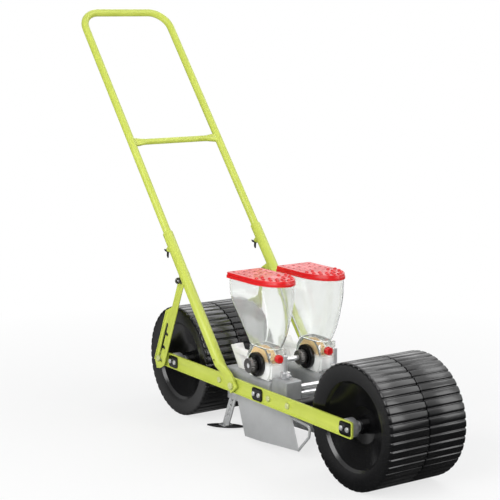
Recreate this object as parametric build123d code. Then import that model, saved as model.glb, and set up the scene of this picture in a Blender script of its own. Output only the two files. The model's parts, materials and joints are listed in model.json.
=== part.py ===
from build123d import *
import math
import os

# Walk-behind two-row seed planter. Millimetres, +X is the way it travels, +Z is up, the floor is z = 0.
# Everything is drawn with the rear axle at x = 0 and moved to the middle of the machine on the last lines.
# "Right" is the operator's right, at -Y, and side is -1 for right and +1 for left.

# Rollers
roller_diameter = 270.0
roller_width = 199.0
seam_gap = 3.0
rib_count = 46
rib_groove_width = 5.5
rib_groove_depth = 3.0
drum_rim = 7.0
drum_land_radius = 96.0
drum_land_slope = 5.0
drum_step = 6.0
drum_hub_radius = 18.0
drum_hub_recess = 20.0
drum_cone_depth = 38.0
drum_cone_radius = 40.0
drum_web = 6.0
wheelbase = 686.0

# Axles and their bearings
axle_radius = 6.0
running_fit = 0.05
press_gap = 0.02
bearing_radius = 21.0
bearing_length = 16.0
collar_radius = 12.0
collar_width = 5.0

# Side rails: shallow pans with the lip outwards
rail_height = 36.0
rail_depth = 5.5
rail_sheet = 2.5
rail_corner = 6.0
rail_roller_gap = 9.0
rail_rear_x = -82.0
rail_front_overhang = 22.5

# Black plates and the bolts of the frame
plate_length = 38.0
plate_height = 28.0
plate_thickness = 3.5
plate_corner = 6.0
plate_bolt_offset = 10.0
plate_bolt_radius = 3.0
plate_bolt_head_radius = 5.5
plate_bolt_head = 4.0
plate_bolt_depth = 10.0
mid_plate_x = 365.0
rail_bolt_radius = 4.0
rail_bolt_head_radius = 7.0
rail_bolt_head = 4.5
rear_rail_bolt_x = 208.0
unit_rail_bolt_x = 408.0
cross_tube_x = 481.0
cross_tube_radius = 10.0
bolt_gap = 0.05
axle_stub_radius = 4.0
axle_hole_gap = 0.5

# Row units: rises are above the axles, and lifts and drops are from the seed shaft
row_spacing = 138.0
shaft_x = 340.0
shaft_rise = 62.0
shaft_radius = 6.0
seed_roller_radius = 41.0
seed_roller_width = 14.0
seed_roller_offset = -8.0
seed_cell_count = 24
seed_cell_radius = 2.6
seed_cell_depth = 2.5
seed_cell_row = 3.5
roller_play = 0.6
roller_back_gap = 2.5
housing_wall = 4.4
housing_half_width = 21.0
housing_base_half_length = 38.0
roller_in_neck = 3.0
throat_half_length = 29.0
chute_reach = 2.0
chute_half_width = 15.0
chute_offset = -5.0
chute_drop = 27.0
chute_lift = 6.0
chute_wall = 3.0
outlet_rear_x = 312.0
outlet_front_x = 344.0
outlet_half_width = 7.0
door_thickness = 3.0
disc_radius = 28.0
disc_width = 9.0
disc_ring_depth = 2.5
disc_ring_count = 3
disc_bore_gap = 0.3
lock_knob_radius = 17.0
lock_knob_width = 16.0
lock_knob_gap = 3.0
lock_knob_flutes = 18
lock_knob_flute_radius = 2.2

# Cast unit base
base_bottom_rise = -17.0
base_top_rise = 31.0
base_rear_x = 198.0
base_reach = 6.0
base_half_width = 29.0
base_round = 12.0
block_reach = 12.0
block_half_width = 22.0
block_top_rise = 41.0
block_round = 4.0
pocket_gap = 0.5
spout_x = 300.0
spout_radius = 11.0
spout_bore_radius = 9.0
funnel_foot = 12.0
spout_length = 56.0
boss_radius = 9.0
cross_rod_radius = 6.0
cross_rod_reach = 22.0
upper_rod_rise = 23.0
lower_rod_rise = 8.0

# Hopper and lid
hopper_wall = 2.2
hopper_height = 157.0
hopper_rim_height = 20.0
# Each level: height above the neck, back, start of the nose's curve, tip of the nose, half width
hopper_levels = (
    (0.0, 302.0, 350.0, 386.0, 21.0),
    (33.0, 293.5, 347.0, 404.0, 33.0),
    (61.0, 281.0, 345.0, 412.0, 39.0),
    (95.0, 256.0, 345.0, 419.0, 45.0),
    (115.0, 249.0, 345.0, 421.5, 46.3),
)
lid_rear_x = 245.0
lid_straight_x = 345.0
lid_nose_x = 425.0
lid_half_width = 49.5
lid_corner = 7.0
lid_overlap = 8.5
lid_skirt = 6.5
lid_crown = 6.5
lid_step = 1.6
lid_wall = 2.6
lid_play = 0.4
dimple_radius = 3.0
dimple_depth = 2.8
dimple_pitch = 22.0
stud_radius = 4.5
stud_height = 4.0
stud_pitch = 18.0
stud_rings = 2
stud_inset = 9.0

# Brush block and its red knob
brush_half_width = 10.0
brush_top_rear_x = 206.0
brush_top_rear_lift = 17.0
brush_top_front_x = 228.0
brush_top_front_lift = 24.0
brush_foot_rear_x = 239.0
brush_foot_front_x = 262.0
tongue_bottom_lift = 3.0
tongue_top_lift = 15.0
tongue_half_width = 6.5
tongue_gap = 0.5
brush_knob_radius = 9.5
brush_knob_length = 13.0
brush_knob_lift = 19.0
brush_knob_offset = -4.0
brush_spindle_radius = 3.0
brush_boss_radius = 6.5
brush_boss_reach = 1.0
brush_spindle_depth = 5.0
brush_knob_flutes = 8
brush_knob_flute_radius = 2.4

# Furrow opener, its depth rod and its guard rod
opener_rear_x = 272.0
opener_bend_x = 342.0
opener_tip_x = 471.0
opener_half_width = 15.0
opener_sheet = 2.5
opener_rear_z = 10.0
opener_tip_z = 21.0
opener_rake = 0.39
opener_base_gap = 10.0
opener_top_plate = 4.0
opener_plate_rear_x = 238.0
opener_plate_reach = 28.0
guard_radius = 3.0
guard_bend = 9.0
guard_front_x = 506.0
guard_top_drop = 16.0
guard_front_drop = 22.0
guard_low_drop = 46.0
depth_rod_reach = 25.0
depth_rod_radius = 5.0
depth_rod_top_lift = 31.0
clamp_radius = 11.0
clamp_height = 14.0
clamp_screw_radius = 4.0
clamp_screw_length = 9.0

# Coverer behind the opener
hanger_rear_x = 184.0
hanger_front_x = 230.0
hanger_height = 37.0
hanger_sheet = 3.0
hanger_foot = 14.0
coverer_pivot_x = 205.0
coverer_pivot_drop = 25.0
coverer_pin_radius = 4.0
coverer_pin_head = 7.0
arm_sheet = 3.0
arm_width = 24.0
arm_gap = 0.4
arm_foot_x = 168.0
arm_hole_radius = 3.0
arm_hole_pitch = 15.0
arm_hole_count = 4
shoe_bottom_z = 5.0
shoe_thickness = 4.0
shoe_half_length = 46.0
shoe_half_width = 14.0
shoe_angle = 45.0
shoe_foot_length = 26.0

# Chain drive on the left side: front axle to an idler outside the rail, idler to the seed shaft inside it
chain_pitch = 9.525
chain_roller_radius = 3.175
axle_teeth = 16
idler_teeth = 12
seed_teeth = 10
sprocket_width = 5.3
chain_rail_gap = 9.5
feed_chain_gap = 5.5
idler_x = 322.0
idler_rise = 2.0
idler_spindle_radius = 5.0
idler_neck_radius = 7.0
idler_flange_radius = 9.0
chain_plate = 1.3
chain_plate_half_height = 4.1
chain_inner_gap = 0.3
chain_clear = 20.0
tooth_height = 3.0
sprocket_hub_radius = 9.0
shaft_past_chain = 6.0

# Handle
handle_lean = 39.76
leg_pivot_x = 271.0
leg_wall = 2.7
leg_length = 417.0
leg_foot_thickness = 6.0
leg_foot_width = 30.0
leg_foot_end = 12.0
leg_flat_end = 20.0
leg_round_start = 58.0
leg_rail_gap = 0.5
pivot_radius = 6.0
pivot_head_radius = 8.5
pivot_head = 5.0
pivot_nut = 3.5
leg_hole_position = 70.0
leg_hole_radius = 3.0
handle_tube_radius = 9.5
handle_tube_wall = 1.6
slide_gap = 0.3
handle_top = 1097.0
handle_bend = 52.0
handle_insert = 180.0
crossbar_position = 684.0
crossbar_radius = 7.5
crossbar_flat_length = 30.0
crossbar_flat_width = 24.0
crossbar_flat_thickness = 8.0
screw_position = 383.0
screw_boss_radius = 7.0
screw_boss_end = 22.0
screw_radius = 3.0
screw_wing_width = 26.0
screw_wing_height = 13.0
screw_wing_thickness = 4.0
screw_neck = 5.0

# Struts that set the handle's lean
strut_bolt_x = 58.0
strut_bolt_rise = 213.0
strut_pin_x = -53.0
strut_slot_offset = 15.0
strut_sheet = 3.0
lug_rail_gap = 1.0
strut_eye_radius = 13.0
strut_neck_half_width = 12.0
strut_neck_length = 84.0
strut_shoulder = 22.0
strut_rear_edge = 30.0
strut_tail = 30.0
strut_rear_cut = 16.0
strut_tail_cut = 10.0
strut_front_cut = 26.0
strut_flange = 6.0
strut_slot_top = 134.0
strut_bolt_radius = 4.0
strut_bolt_head_radius = 8.0
strut_bolt_head = 4.0
bolt_eye_radius = 4.9
bolt_eye_bar = 3.0
strut_pin_radius = 4.0
strut_pin_head_radius = 8.0
strut_slot_half_width = 4.7
strut_notch_reach = 10.0
tilt_steps = (0.0, 7.5, 15.0)
lug_thickness = 4.0
lug_radius = 11.0
lug_root_radius = 6.0
lug_gap = 0.5

# Places that follow from the sizes above
axle_z = roller_diameter / 2
roller_half = roller_width / 2
web_inner_y = roller_half + rail_roller_gap
web_outer_y = web_inner_y + rail_sheet
rail_outer_y = web_inner_y + rail_depth
plate_face_y = web_outer_y + plate_thickness
row_y = row_spacing / 2
leg_bore_radius = handle_tube_radius + slide_gap
leg_radius = leg_bore_radius + leg_wall
leg_y = rail_outer_y + leg_rail_gap + leg_radius
shaft_z = axle_z + shaft_rise
chamber_radius = seed_roller_radius + roller_play
housing_radius = chamber_radius + housing_wall
housing_front_x = shaft_x + housing_radius
housing_top_z = shaft_z + seed_roller_radius - roller_in_neck
chute_front_x = housing_front_x + chute_reach
chute_bottom_z = shaft_z - chute_drop
chute_top_z = shaft_z + chute_lift
pocket_floor_z = shaft_z - housing_radius
base_bottom_z = axle_z + base_bottom_rise
base_top_z = axle_z + base_top_rise
base_front_x = housing_front_x + base_reach
housing_half_chord = math.sqrt(housing_radius ** 2 - (shaft_z - base_top_z) ** 2)
spout_end_z = base_bottom_z - spout_length
hopper_rim_z = housing_top_z + hopper_height
lid_bottom_z = hopper_rim_z - lid_overlap
lid_step_z = lid_bottom_z + lid_skirt
lid_top_z = lid_step_z + lid_crown
brush_top_rear = (brush_top_rear_x, shaft_z + brush_top_rear_lift)
brush_top_front = (brush_top_front_x, shaft_z + brush_top_front_lift)
tongue_bottom_z = shaft_z + tongue_bottom_lift
tongue_top_z = shaft_z + tongue_top_lift
brush_boss_face_x = housing_front_x + brush_boss_reach
brush_knob_z = shaft_z + brush_knob_lift
depth_rod_x = brush_boss_face_x + depth_rod_reach
depth_rod_top_z = shaft_z + depth_rod_top_lift
cross_rod_x = depth_rod_x + cross_rod_reach
upper_rod_z = axle_z + upper_rod_rise
lower_rod_z = axle_z + lower_rod_rise
block_front_x = cross_rod_x + block_reach
block_top_z = axle_z + block_top_rise
opener_top_z = base_bottom_z - opener_base_gap
opener_plate_front_x = depth_rod_x + opener_plate_reach
guard_top_z = opener_top_z - guard_top_drop
guard_front_z = opener_top_z - guard_front_drop
guard_low_z = opener_top_z - guard_low_drop
hanger_bottom_z = base_bottom_z - hanger_height
coverer_pivot_z = base_bottom_z - coverer_pivot_drop
drive_chain_y = rail_outer_y + chain_rail_gap
feed_chain_y = web_inner_y - feed_chain_gap
axle_end_y = drive_chain_y + shaft_past_chain
shaft_end_y = feed_chain_y + shaft_past_chain
idler_z = axle_z + idler_rise
strut_bolt_z = axle_z + strut_bolt_rise
lean = math.radians(handle_lean)
leg_direction = Vector(-math.sin(lean), 0, math.cos(lean))
plate_places = (0, mid_plate_x, wheelbase)
sides = {"right": -1, "left": 1}


def across(profile, y_from, y_to):
    """Extrude a profile drawn in x and z from one y to another."""
    start = Plane(origin=(0, y_from, 0), x_dir=(1, 0, 0), z_dir=(0, -1, 0))
    return extrude(start * profile, y_from - y_to)


def rod(x, z, radius, y_from, y_to):
    """A round bar across the machine."""
    return across(Pos(x, z) * Circle(radius), y_from, y_to)


def block(x_from, x_to, y_from, y_to, z_from, z_to):
    """A box between its corners."""
    centre = Pos((x_from + x_to) / 2, (y_from + y_to) / 2, (z_from + z_to) / 2)
    return centre * Box(abs(x_to - x_from), abs(y_to - y_from), abs(z_to - z_from))


def upright(x, y, radius, z_from, z_to):
    """A round bar standing up."""
    return Pos(x, y, (z_from + z_to) / 2) * Cylinder(radius, z_to - z_from)


def turned(x, z, points):
    """Turn a closed outline of (radius, y) points about an axis across the machine."""
    middle = Plane(origin=(x, 0, z), x_dir=(1, 0, 0), z_dir=(0, 0, 1))
    outline = middle * make_face(Polyline(*points, close=True))
    return revolve(outline, Axis((x, 0, z), (0, 1, 0)))


def group(shapes):
    """Several like pieces in one node."""
    solids = []
    for shape in shapes:
        solids.extend(shape.solids())
    return Compound(solids)


# Rollers


def ribbed_outline():
    """The drum's end view: flat slats with round grooves, one slat at the very bottom."""
    radius = roller_diameter / 2
    step = 2 * math.pi / rib_count
    half_slat = step / 2 - rib_groove_width / 2 / radius
    edges = []
    for rib in range(rib_count):
        middle = -math.pi / 2 + rib * step
        around = [middle - half_slat, middle, middle + half_slat]
        around += [middle + step / 2, middle + step - half_slat]
        reach = [radius, radius, radius, radius - rib_groove_depth, radius]
        points = [(r * math.cos(a), r * math.sin(a)) for r, a in zip(reach, around)]
        edges.append(ThreePointArc(points[0], points[1], points[2]))
        edges.append(ThreePointArc(points[2], points[3], points[4]))
    return make_face(edges)


def drum(axle_x, side):
    """One half roller: ribbed rim, dished outer end, hub right through, open at the seam."""
    rim_radius = roller_diameter / 2 - rib_groove_depth - drum_rim
    end = roller_half + 1

    def y_of(depth):
        return side * (roller_half - depth)

    body = across(Pos(axle_x, axle_z) * ribbed_outline(), side * seam_gap / 2, side * roller_half)
    step_radius = drum_land_radius - drum_step
    step_depth = drum_land_slope + drum_step
    dish = turned(axle_x, axle_z, [
        (0, side * end),
        (rim_radius + 2, side * end),
        (rim_radius + 2, y_of(0)),
        (drum_land_radius, y_of(drum_land_slope)),
        (step_radius, y_of(step_depth)),
        (drum_cone_radius, y_of(drum_cone_depth - 4)),
        (drum_hub_radius, y_of(drum_cone_depth)),
        (drum_hub_radius, y_of(drum_hub_recess)),
        (0, y_of(drum_hub_recess)),
    ])
    hollow = turned(axle_x, axle_z, [
        (drum_hub_radius, 0),
        (rim_radius, 0),
        (rim_radius, y_of(drum_web + 2)),
        (drum_land_radius, y_of(drum_land_slope + drum_web)),
        (step_radius, y_of(step_depth + drum_web)),
        (drum_cone_radius, y_of(drum_cone_depth - 4 + drum_web)),
        (drum_hub_radius, y_of(drum_cone_depth + drum_web)),
    ])
    bore = rod(axle_x, axle_z, axle_radius + press_gap, 0, side * end)
    return body - dish - hollow - bore


def front_axle():
    """Axle with a thinner end that passes through the left rail to its sprocket."""
    bar = rod(wheelbase, axle_z, axle_radius, -web_inner_y, web_inner_y)
    return bar + rod(wheelbase, axle_z, axle_stub_radius, web_inner_y, axle_end_y)


def collars(axle_x):
    """Two set collars that hold the drums on their axle."""
    near = roller_half - drum_hub_recess + press_gap
    rings = []
    for side in sides.values():
        ring = rod(axle_x, axle_z, collar_radius, side * near, side * (near + collar_width))
        rings.append(ring - rod(axle_x, axle_z, axle_radius + press_gap, 0, side * roller_half))
    return group(rings)


def bearing(axle_x, side):
    """Round housing bolted inside a rail, at one end of an axle."""
    inner = side * (web_inner_y - bearing_length)
    body = rod(axle_x, axle_z, bearing_radius, inner, side * web_inner_y)
    body -= rod(axle_x, axle_z, axle_radius + running_fit, 0, side * rail_outer_y)
    for x in plate_bolt_places(axle_x):
        start = side * (web_inner_y - plate_bolt_depth - 1)
        body -= rod(x, axle_z, plate_bolt_radius + bolt_gap, start, side * rail_outer_y)
    return body


# Frame


def plate_bolt_places(centre_x):
    return [centre_x - plate_bolt_offset, centre_x + plate_bolt_offset]


def rail(side):
    """A long pan: web on the inside, lips all round towards the outside."""
    front_x = wheelbase + rail_front_overhang
    length = front_x - rail_rear_x
    place = Pos((front_x + rail_rear_x) / 2, axle_z)
    outside = RectangleRounded(length, rail_height, rail_corner)
    inside = RectangleRounded(length - 2 * rail_sheet, rail_height - 2 * rail_sheet, rail_corner - rail_sheet)
    pan = across(place * outside, side * web_inner_y, side * rail_outer_y)
    pan -= across(place * inside, side * web_outer_y, side * (rail_outer_y + 1))
    through = (side * (web_inner_y - 1), side * rail_outer_y)
    if side > 0:
        pan -= rod(wheelbase, axle_z, axle_stub_radius + axle_hole_gap, *through)
        pan -= rod(idler_x, idler_z, idler_neck_radius + bolt_gap, *through)
    for centre_x in plate_places:
        for x in plate_bolt_places(centre_x):
            pan -= rod(x, axle_z, plate_bolt_radius + bolt_gap, *through)
    for x in (rear_rail_bolt_x, unit_rail_bolt_x, cross_tube_x):
        pan -= rod(x, axle_z, rail_bolt_radius + bolt_gap, *through)
    pan -= rod(leg_pivot_x, axle_z, pivot_radius + bolt_gap, *through)
    pan -= rod(strut_pin_x, axle_z, strut_pin_radius + bolt_gap, *through)
    return pan


def plate(centre_x, side):
    """Black plate with rounded corners on a rail's web."""
    outline = Pos(centre_x, axle_z) * RectangleRounded(plate_length, plate_height, plate_corner)
    piece = across(outline, side * web_outer_y, side * plate_face_y)
    for x in plate_bolt_places(centre_x):
        piece -= rod(x, axle_z, plate_bolt_radius + bolt_gap, 0, side * (plate_face_y + 1))
    if centre_x == wheelbase and side > 0:
        piece -= rod(centre_x, axle_z, axle_stub_radius + axle_hole_gap, 0, side * (plate_face_y + 1))
    return piece


def headed_bolt(x, z, side, radius, head_radius, head, seat_y, tip_y):
    """A bolt across the machine: its head sits outside seat_y and its tip is at tip_y."""
    shank = rod(x, z, radius, side * tip_y, side * (seat_y + head))
    cap = rod(x, z, head_radius, side * seat_y, side * (seat_y + head))
    rim = cap.edges().filter_by(GeomType.CIRCLE).group_by(Axis.Y)[-1 if side > 0 else 0]
    return chamfer(rim, head / 4) + shank


def plate_bolts():
    """Two bolts through each black plate."""
    bolts = []
    for side in sides.values():
        for centre_x in plate_places:
            for x in plate_bolt_places(centre_x):
                bolts.append(headed_bolt(x, axle_z, side, plate_bolt_radius, plate_bolt_head_radius,
                                         plate_bolt_head, plate_face_y, web_inner_y - plate_bolt_depth))
    return bolts


def rail_bolts():
    """Plain bolts from the rails into the castings and the cross tube."""
    bolts = []
    for side in sides.values():
        for x in (rear_rail_bolt_x, unit_rail_bolt_x, cross_tube_x):
            bolts.append(headed_bolt(x, axle_z, side, rail_bolt_radius, rail_bolt_head_radius,
                                     rail_bolt_head, web_outer_y, web_inner_y - plate_bolt_depth))
    return bolts


def leg_pivot_bolts():
    """Shoulder bolts that the handle's legs tilt on, with a spacer in the rail and a thin nut inside."""
    foot_inner = rail_outer_y + leg_rail_gap
    seat = foot_inner + leg_foot_thickness + leg_rail_gap
    bolts = []
    for side in sides.values():
        bolt = headed_bolt(leg_pivot_x, axle_z, side, pivot_radius, pivot_head_radius,
                           pivot_head, seat, web_inner_y - pivot_nut)
        nut = across(Pos(leg_pivot_x, axle_z) * RegularPolygon(pivot_head_radius, 6),
                     side * (web_inner_y - pivot_nut), side * web_inner_y)
        spacer = rod(leg_pivot_x, axle_z, pivot_head_radius, side * web_outer_y, side * rail_outer_y)
        bolts.append(bolt + nut + spacer)
    return bolts


def cross_tube():
    """Spacer tube between the rails in front of the row units."""
    tube = rod(cross_tube_x, axle_z, cross_tube_radius, -web_inner_y, web_inner_y)
    return tube - rod(cross_tube_x, axle_z, rail_bolt_radius + bolt_gap, -web_inner_y, web_inner_y)


def cross_rods():
    """Two bright rods that tie the unit bases to each other."""
    reach = row_y + block_half_width - 4
    return group([rod(cross_rod_x, z, cross_rod_radius, -reach, reach) for z in (upper_rod_z, lower_rod_z)])


# Row units: y is the row's own middle plane


def unit_base(y, side):
    """The cast base: a rounded hump with a pocket, a front block, bosses to the rail and a seed spout."""
    hump = block(base_rear_x, base_front_x, y - base_half_width, y + base_half_width,
                 base_bottom_z, base_top_z)
    hump = fillet(hump.edges().filter_by(Axis.X).group_by(Axis.Z)[-1], base_round)
    hump = fillet(hump.edges().filter_by(Axis.Z).group_by(Axis.X)[0], base_round)
    front = block(base_front_x, block_front_x, y - block_half_width, y + block_half_width,
                  base_bottom_z, block_top_z)
    corners = front.edges().filter_by(Axis.Z).group_by(Axis.X)[-1]
    front = fillet(corners + front.edges().group_by(Axis.Z)[-1], block_round)
    base = hump + front
    outlet = Rectangle(outlet_front_x - outlet_rear_x, 2 * outlet_half_width)
    mouth = Pos((outlet_front_x + outlet_rear_x) / 2, y + seed_roller_offset, pocket_floor_z + 1) * outlet
    funnel = loft([Pos(spout_x, y, base_bottom_z - 1) * Rectangle(funnel_foot, funnel_foot), mouth])
    base += upright(spout_x, y, spout_radius, spout_end_z, base_bottom_z)
    base -= upright(spout_x, y, spout_bore_radius, spout_end_z - 1, base_bottom_z)
    base -= funnel
    boss_start = y + side * (block_half_width - 3)
    for x in plate_bolt_places(mid_plate_x) + [rear_rail_bolt_x, unit_rail_bolt_x]:
        base += rod(x, axle_z, boss_radius, boss_start, side * web_inner_y)
    half_pocket = max(housing_base_half_length, housing_half_chord) + pocket_gap
    pocket_side = housing_half_width + pocket_gap
    base -= block(shaft_x - half_pocket, shaft_x + half_pocket, y - pocket_side, y + pocket_side,
                  pocket_floor_z, block_top_z + 1)
    for x in plate_bolt_places(mid_plate_x):
        base -= rod(x, axle_z, plate_bolt_radius + bolt_gap, side * web_inner_y,
                    side * (web_inner_y - plate_bolt_depth - 1))
    for x in (rear_rail_bolt_x, unit_rail_bolt_x):
        base -= rod(x, axle_z, rail_bolt_radius + bolt_gap, side * web_inner_y,
                    side * (web_inner_y - plate_bolt_depth - 1))
    for z in (upper_rod_z, lower_rod_z):
        inner_y = y - side * (base_half_width + 1)
        base -= rod(cross_rod_x, z, cross_rod_radius + bolt_gap, inner_y, y + side * (block_half_width - 4))
    base -= upright(depth_rod_x, y, depth_rod_radius + running_fit, base_bottom_z - 1, block_top_z + 1)
    return base


def chamber_ends(y):
    """Where the seed roller's chamber starts, at the door's plug, and where it ends."""
    roller_y = y + seed_roller_offset
    half = seed_roller_width / 2
    return roller_y - half - roller_play, roller_y + half + roller_back_gap


def over_housing(y):
    """The room above the housing, where the hopper's neck stands."""
    reach = 2 * housing_radius
    return block(shaft_x - reach, shaft_x + reach, y - reach, y + reach, housing_top_z, housing_top_z + reach)


def housing(y):
    """Clear box round the seed roller, open on the door's side, with a throat on top and an outlet below."""
    near = y - housing_half_width
    far = y + housing_half_width
    body = rod(shaft_x, shaft_z, housing_radius, near, far)
    base_x = housing_base_half_length
    body += block(shaft_x - base_x, shaft_x + base_x, near, far, pocket_floor_z, shaft_z)
    neck = hopper_levels[0]
    body += block(neck[1], neck[3], near, far, shaft_z, housing_top_z)
    body -= over_housing(y)
    chute_y = y + chute_offset
    body += block(shaft_x, chute_front_x, chute_y - chute_half_width, chute_y + chute_half_width,
                  chute_bottom_z, chute_top_z)
    knob_y = y + brush_knob_offset
    boss = Plane(origin=(shaft_x, knob_y, brush_knob_z), z_dir=(1, 0, 0)) * Circle(brush_boss_radius)
    body += extrude(boss, brush_boss_face_x - shaft_x)
    inside = chute_half_width - chute_wall
    body -= block(shaft_x, chute_front_x - chute_wall, chute_y - inside, chute_y + inside,
                  chute_bottom_z + chute_wall, chute_top_z - chute_wall)
    chamber_near, chamber_far = chamber_ends(y)
    body -= rod(shaft_x, shaft_z, chamber_radius, near - 1, chamber_far)
    body -= rod(shaft_x, shaft_z, shaft_radius + running_fit, y, far + 1)
    body -= block(shaft_x - throat_half_length, shaft_x + throat_half_length, chamber_near, chamber_far,
                  shaft_z, housing_top_z + 1)
    roller_y = y + seed_roller_offset
    body -= block(outlet_rear_x, outlet_front_x, roller_y - outlet_half_width, roller_y + outlet_half_width,
                  pocket_floor_z - 1, shaft_z - chamber_radius + 4)
    slot_half = tongue_half_width + tongue_gap
    body -= block(shaft_x - housing_radius - 1, shaft_x - seed_roller_radius + 4, roller_y - slot_half,
                  roller_y + slot_half, tongue_bottom_z - tongue_gap, tongue_top_z + tongue_gap)
    spindle = Plane(origin=(brush_boss_face_x + 1, knob_y, brush_knob_z), z_dir=(-1, 0, 0))
    body -= extrude(spindle * Circle(brush_spindle_radius + running_fit), brush_spindle_depth + 1)
    return body


def door(y):
    """Clear side door of the housing: an outer plate above the casting and a plug that fills the bore."""
    near = y - housing_half_width
    plate = rod(shaft_x, shaft_z, housing_radius, near - door_thickness, near)
    below = block(shaft_x - housing_radius - 1, shaft_x + housing_radius + 1, near - door_thickness - 1, near,
                  shaft_z - housing_radius - 1, base_top_z + pocket_gap)
    plug_end = chamber_ends(y)[0]
    plug = rod(shaft_x, shaft_z, chamber_radius - 2 * running_fit, near, plug_end)
    hole = rod(shaft_x, shaft_z, shaft_radius + running_fit, near - door_thickness - 1, y)
    return plate - below + plug - hole - over_housing(y)


def bearing_disc(y):
    """Black disc with raised rings on the door."""
    seat = y - housing_half_width - door_thickness
    face = seat - disc_width
    ring = (disc_radius - shaft_radius) / (2 * disc_ring_count + 1)
    bore = shaft_radius + disc_bore_gap
    points = [(bore, seat), (disc_radius, seat)]
    for number in range(disc_ring_count + 1):
        outer = disc_radius - 2 * number * ring
        points += [(outer, face), (max(outer - ring, bore), face)]
        if number < disc_ring_count:
            points += [(outer - ring, face + disc_ring_depth), (outer - 2 * ring, face + disc_ring_depth)]
    return turned(shaft_x, shaft_z, points)


def seed_roller(y):
    """Tan roller with two rows of seed cells, set towards the door."""
    middle = y + seed_roller_offset
    half = seed_roller_width / 2
    body = rod(shaft_x, shaft_z, seed_roller_radius, middle - half, middle + half)
    body -= rod(shaft_x, shaft_z, shaft_radius + press_gap, middle - half, middle + half)
    cells = []
    for row in (-seed_cell_row, seed_cell_row):
        for number in range(seed_cell_count):
            around = math.radians((number + (0.5 if row > 0 else 0)) * 360 / seed_cell_count)
            away = Vector(math.cos(around), 0, math.sin(around))
            origin = Vector(shaft_x, middle + row, shaft_z) + away * (seed_roller_radius - seed_cell_depth)
            mouth = Plane(origin=origin, z_dir=away) * Circle(seed_cell_radius)
            cells.append(extrude(mouth, seed_cell_depth + 1))
    return body - cells


def lock_knob(y):
    """Fluted knob that locks the seed roller on the shaft."""
    inner = y - housing_half_width - door_thickness - disc_width - lock_knob_gap
    outline = Circle(lock_knob_radius)
    for place in PolarLocations(lock_knob_radius + lock_knob_flute_radius / 2, lock_knob_flutes):
        outline -= place * Circle(lock_knob_flute_radius)
    knob = across(Pos(shaft_x, shaft_z) * outline, inner, inner - lock_knob_width)
    knob = chamfer(knob.faces().sort_by(Axis.Y)[0].edges(), 1)
    hub = rod(shaft_x, shaft_z, shaft_radius + 3, inner, inner + lock_knob_gap - 1)
    return knob + hub - rod(shaft_x, shaft_z, shaft_radius + press_gap, inner - lock_knob_width, y)


def lock_knob_outer_face(y):
    return y - housing_half_width - door_thickness - disc_width - lock_knob_gap - lock_knob_width


def hopper_section(rear_x, straight_x, nose_x, half_width, corner):
    """Plan outline: straight back with round corners, straight sides, half-ellipse nose."""
    turn = corner * (1 - math.sqrt(0.5))
    return make_face([
        Line((rear_x + corner, -half_width), (straight_x, -half_width)),
        EllipticalCenterArc((straight_x, 0), nose_x - straight_x, half_width, start_angle=-90, arc_size=180),
        Line((straight_x, half_width), (rear_x + corner, half_width)),
        ThreePointArc((rear_x + corner, half_width), (rear_x + turn, half_width - turn),
                      (rear_x, half_width - corner)),
        Line((rear_x, half_width - corner), (rear_x, corner - half_width)),
        ThreePointArc((rear_x, corner - half_width), (rear_x + turn, turn - half_width),
                      (rear_x + corner, -half_width)),
    ])


def lid_section(inset):
    """The lid's outline, drawn in by inset all round."""
    corner = max(lid_corner - inset, 2)
    return hopper_section(lid_rear_x + inset, lid_straight_x, lid_nose_x - inset,
                          lid_half_width - inset, corner)


def hopper_solid(y, inset, end):
    """The hopper's form from neck to rim, drawn in by inset, reaching past both ends by end."""
    rim_inset = lid_wall + lid_play + inset
    rim_start = hopper_rim_z - hopper_rim_height
    rim = hopper_section(lid_rear_x + rim_inset, lid_straight_x, lid_nose_x - rim_inset,
                         lid_half_width - rim_inset, lid_corner - inset)
    levels = []
    for height, rear_x, straight_x, nose_x, half_width in hopper_levels:
        section = hopper_section(rear_x + inset, straight_x, nose_x - inset, half_width - inset,
                                 lid_corner - inset)
        levels.append(Pos(0, y, housing_top_z + height) * section)
    form = loft(levels + [Pos(0, y, rim_start) * rim])
    form += extrude(Pos(0, y, rim_start) * rim, hopper_rim_height + end)
    if end:
        form += extrude(levels[0], -end)
    return form


def hopper(y):
    """Clear seed hopper, open at its rim and its neck."""
    return hopper_solid(y, 0, 0) - hopper_solid(y, hopper_wall, 1)


def lid(y):
    """Red cap over the hopper's rim, with a stepped edge, pits in the flat and domed studs on the nose."""
    cap = extrude(Pos(0, y, lid_bottom_z) * lid_section(0), lid_step_z - lid_bottom_z)
    cap += extrude(Pos(0, y, lid_step_z) * lid_section(lid_step), lid_top_z - lid_step_z)
    cap -= extrude(Pos(0, y, lid_bottom_z) * lid_section(lid_wall), hopper_rim_z + running_fit - lid_bottom_z)
    rows = int(2 * (lid_half_width - stud_inset) / dimple_pitch) + 1
    columns = int((lid_straight_x - lid_rear_x - stud_inset) / dimple_pitch)
    pits = []
    for column in range(columns):
        for row in range(rows):
            x = lid_rear_x + stud_inset + (column + 0.5 * (row % 2)) * dimple_pitch
            pit_y = y + (row - (rows - 1) / 2) * dimple_pitch
            pits.append(upright(x, pit_y, dimple_radius, lid_top_z - dimple_depth, lid_top_z + 1))
    cap -= pits
    dome_seat = (Align.CENTER, Align.CENTER, Align.MIN)
    studs = []
    for ring in range(stud_rings):
        inset = stud_inset + ring * stud_pitch
        nose = lid_nose_x - lid_straight_x - inset
        half = lid_half_width - inset
        count = round(math.pi * math.hypot(nose, half) / math.sqrt(2) / stud_pitch)
        for number in range(count):
            around = math.radians(-80 + 160 * number / (count - 1))
            place = Pos(lid_straight_x + nose * math.cos(around), y + half * math.sin(around),
                        lid_top_z + stud_height - stud_radius)
            studs.append(place * Sphere(stud_radius, arc_size1=0, align=dome_seat))
    return cap + studs


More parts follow.
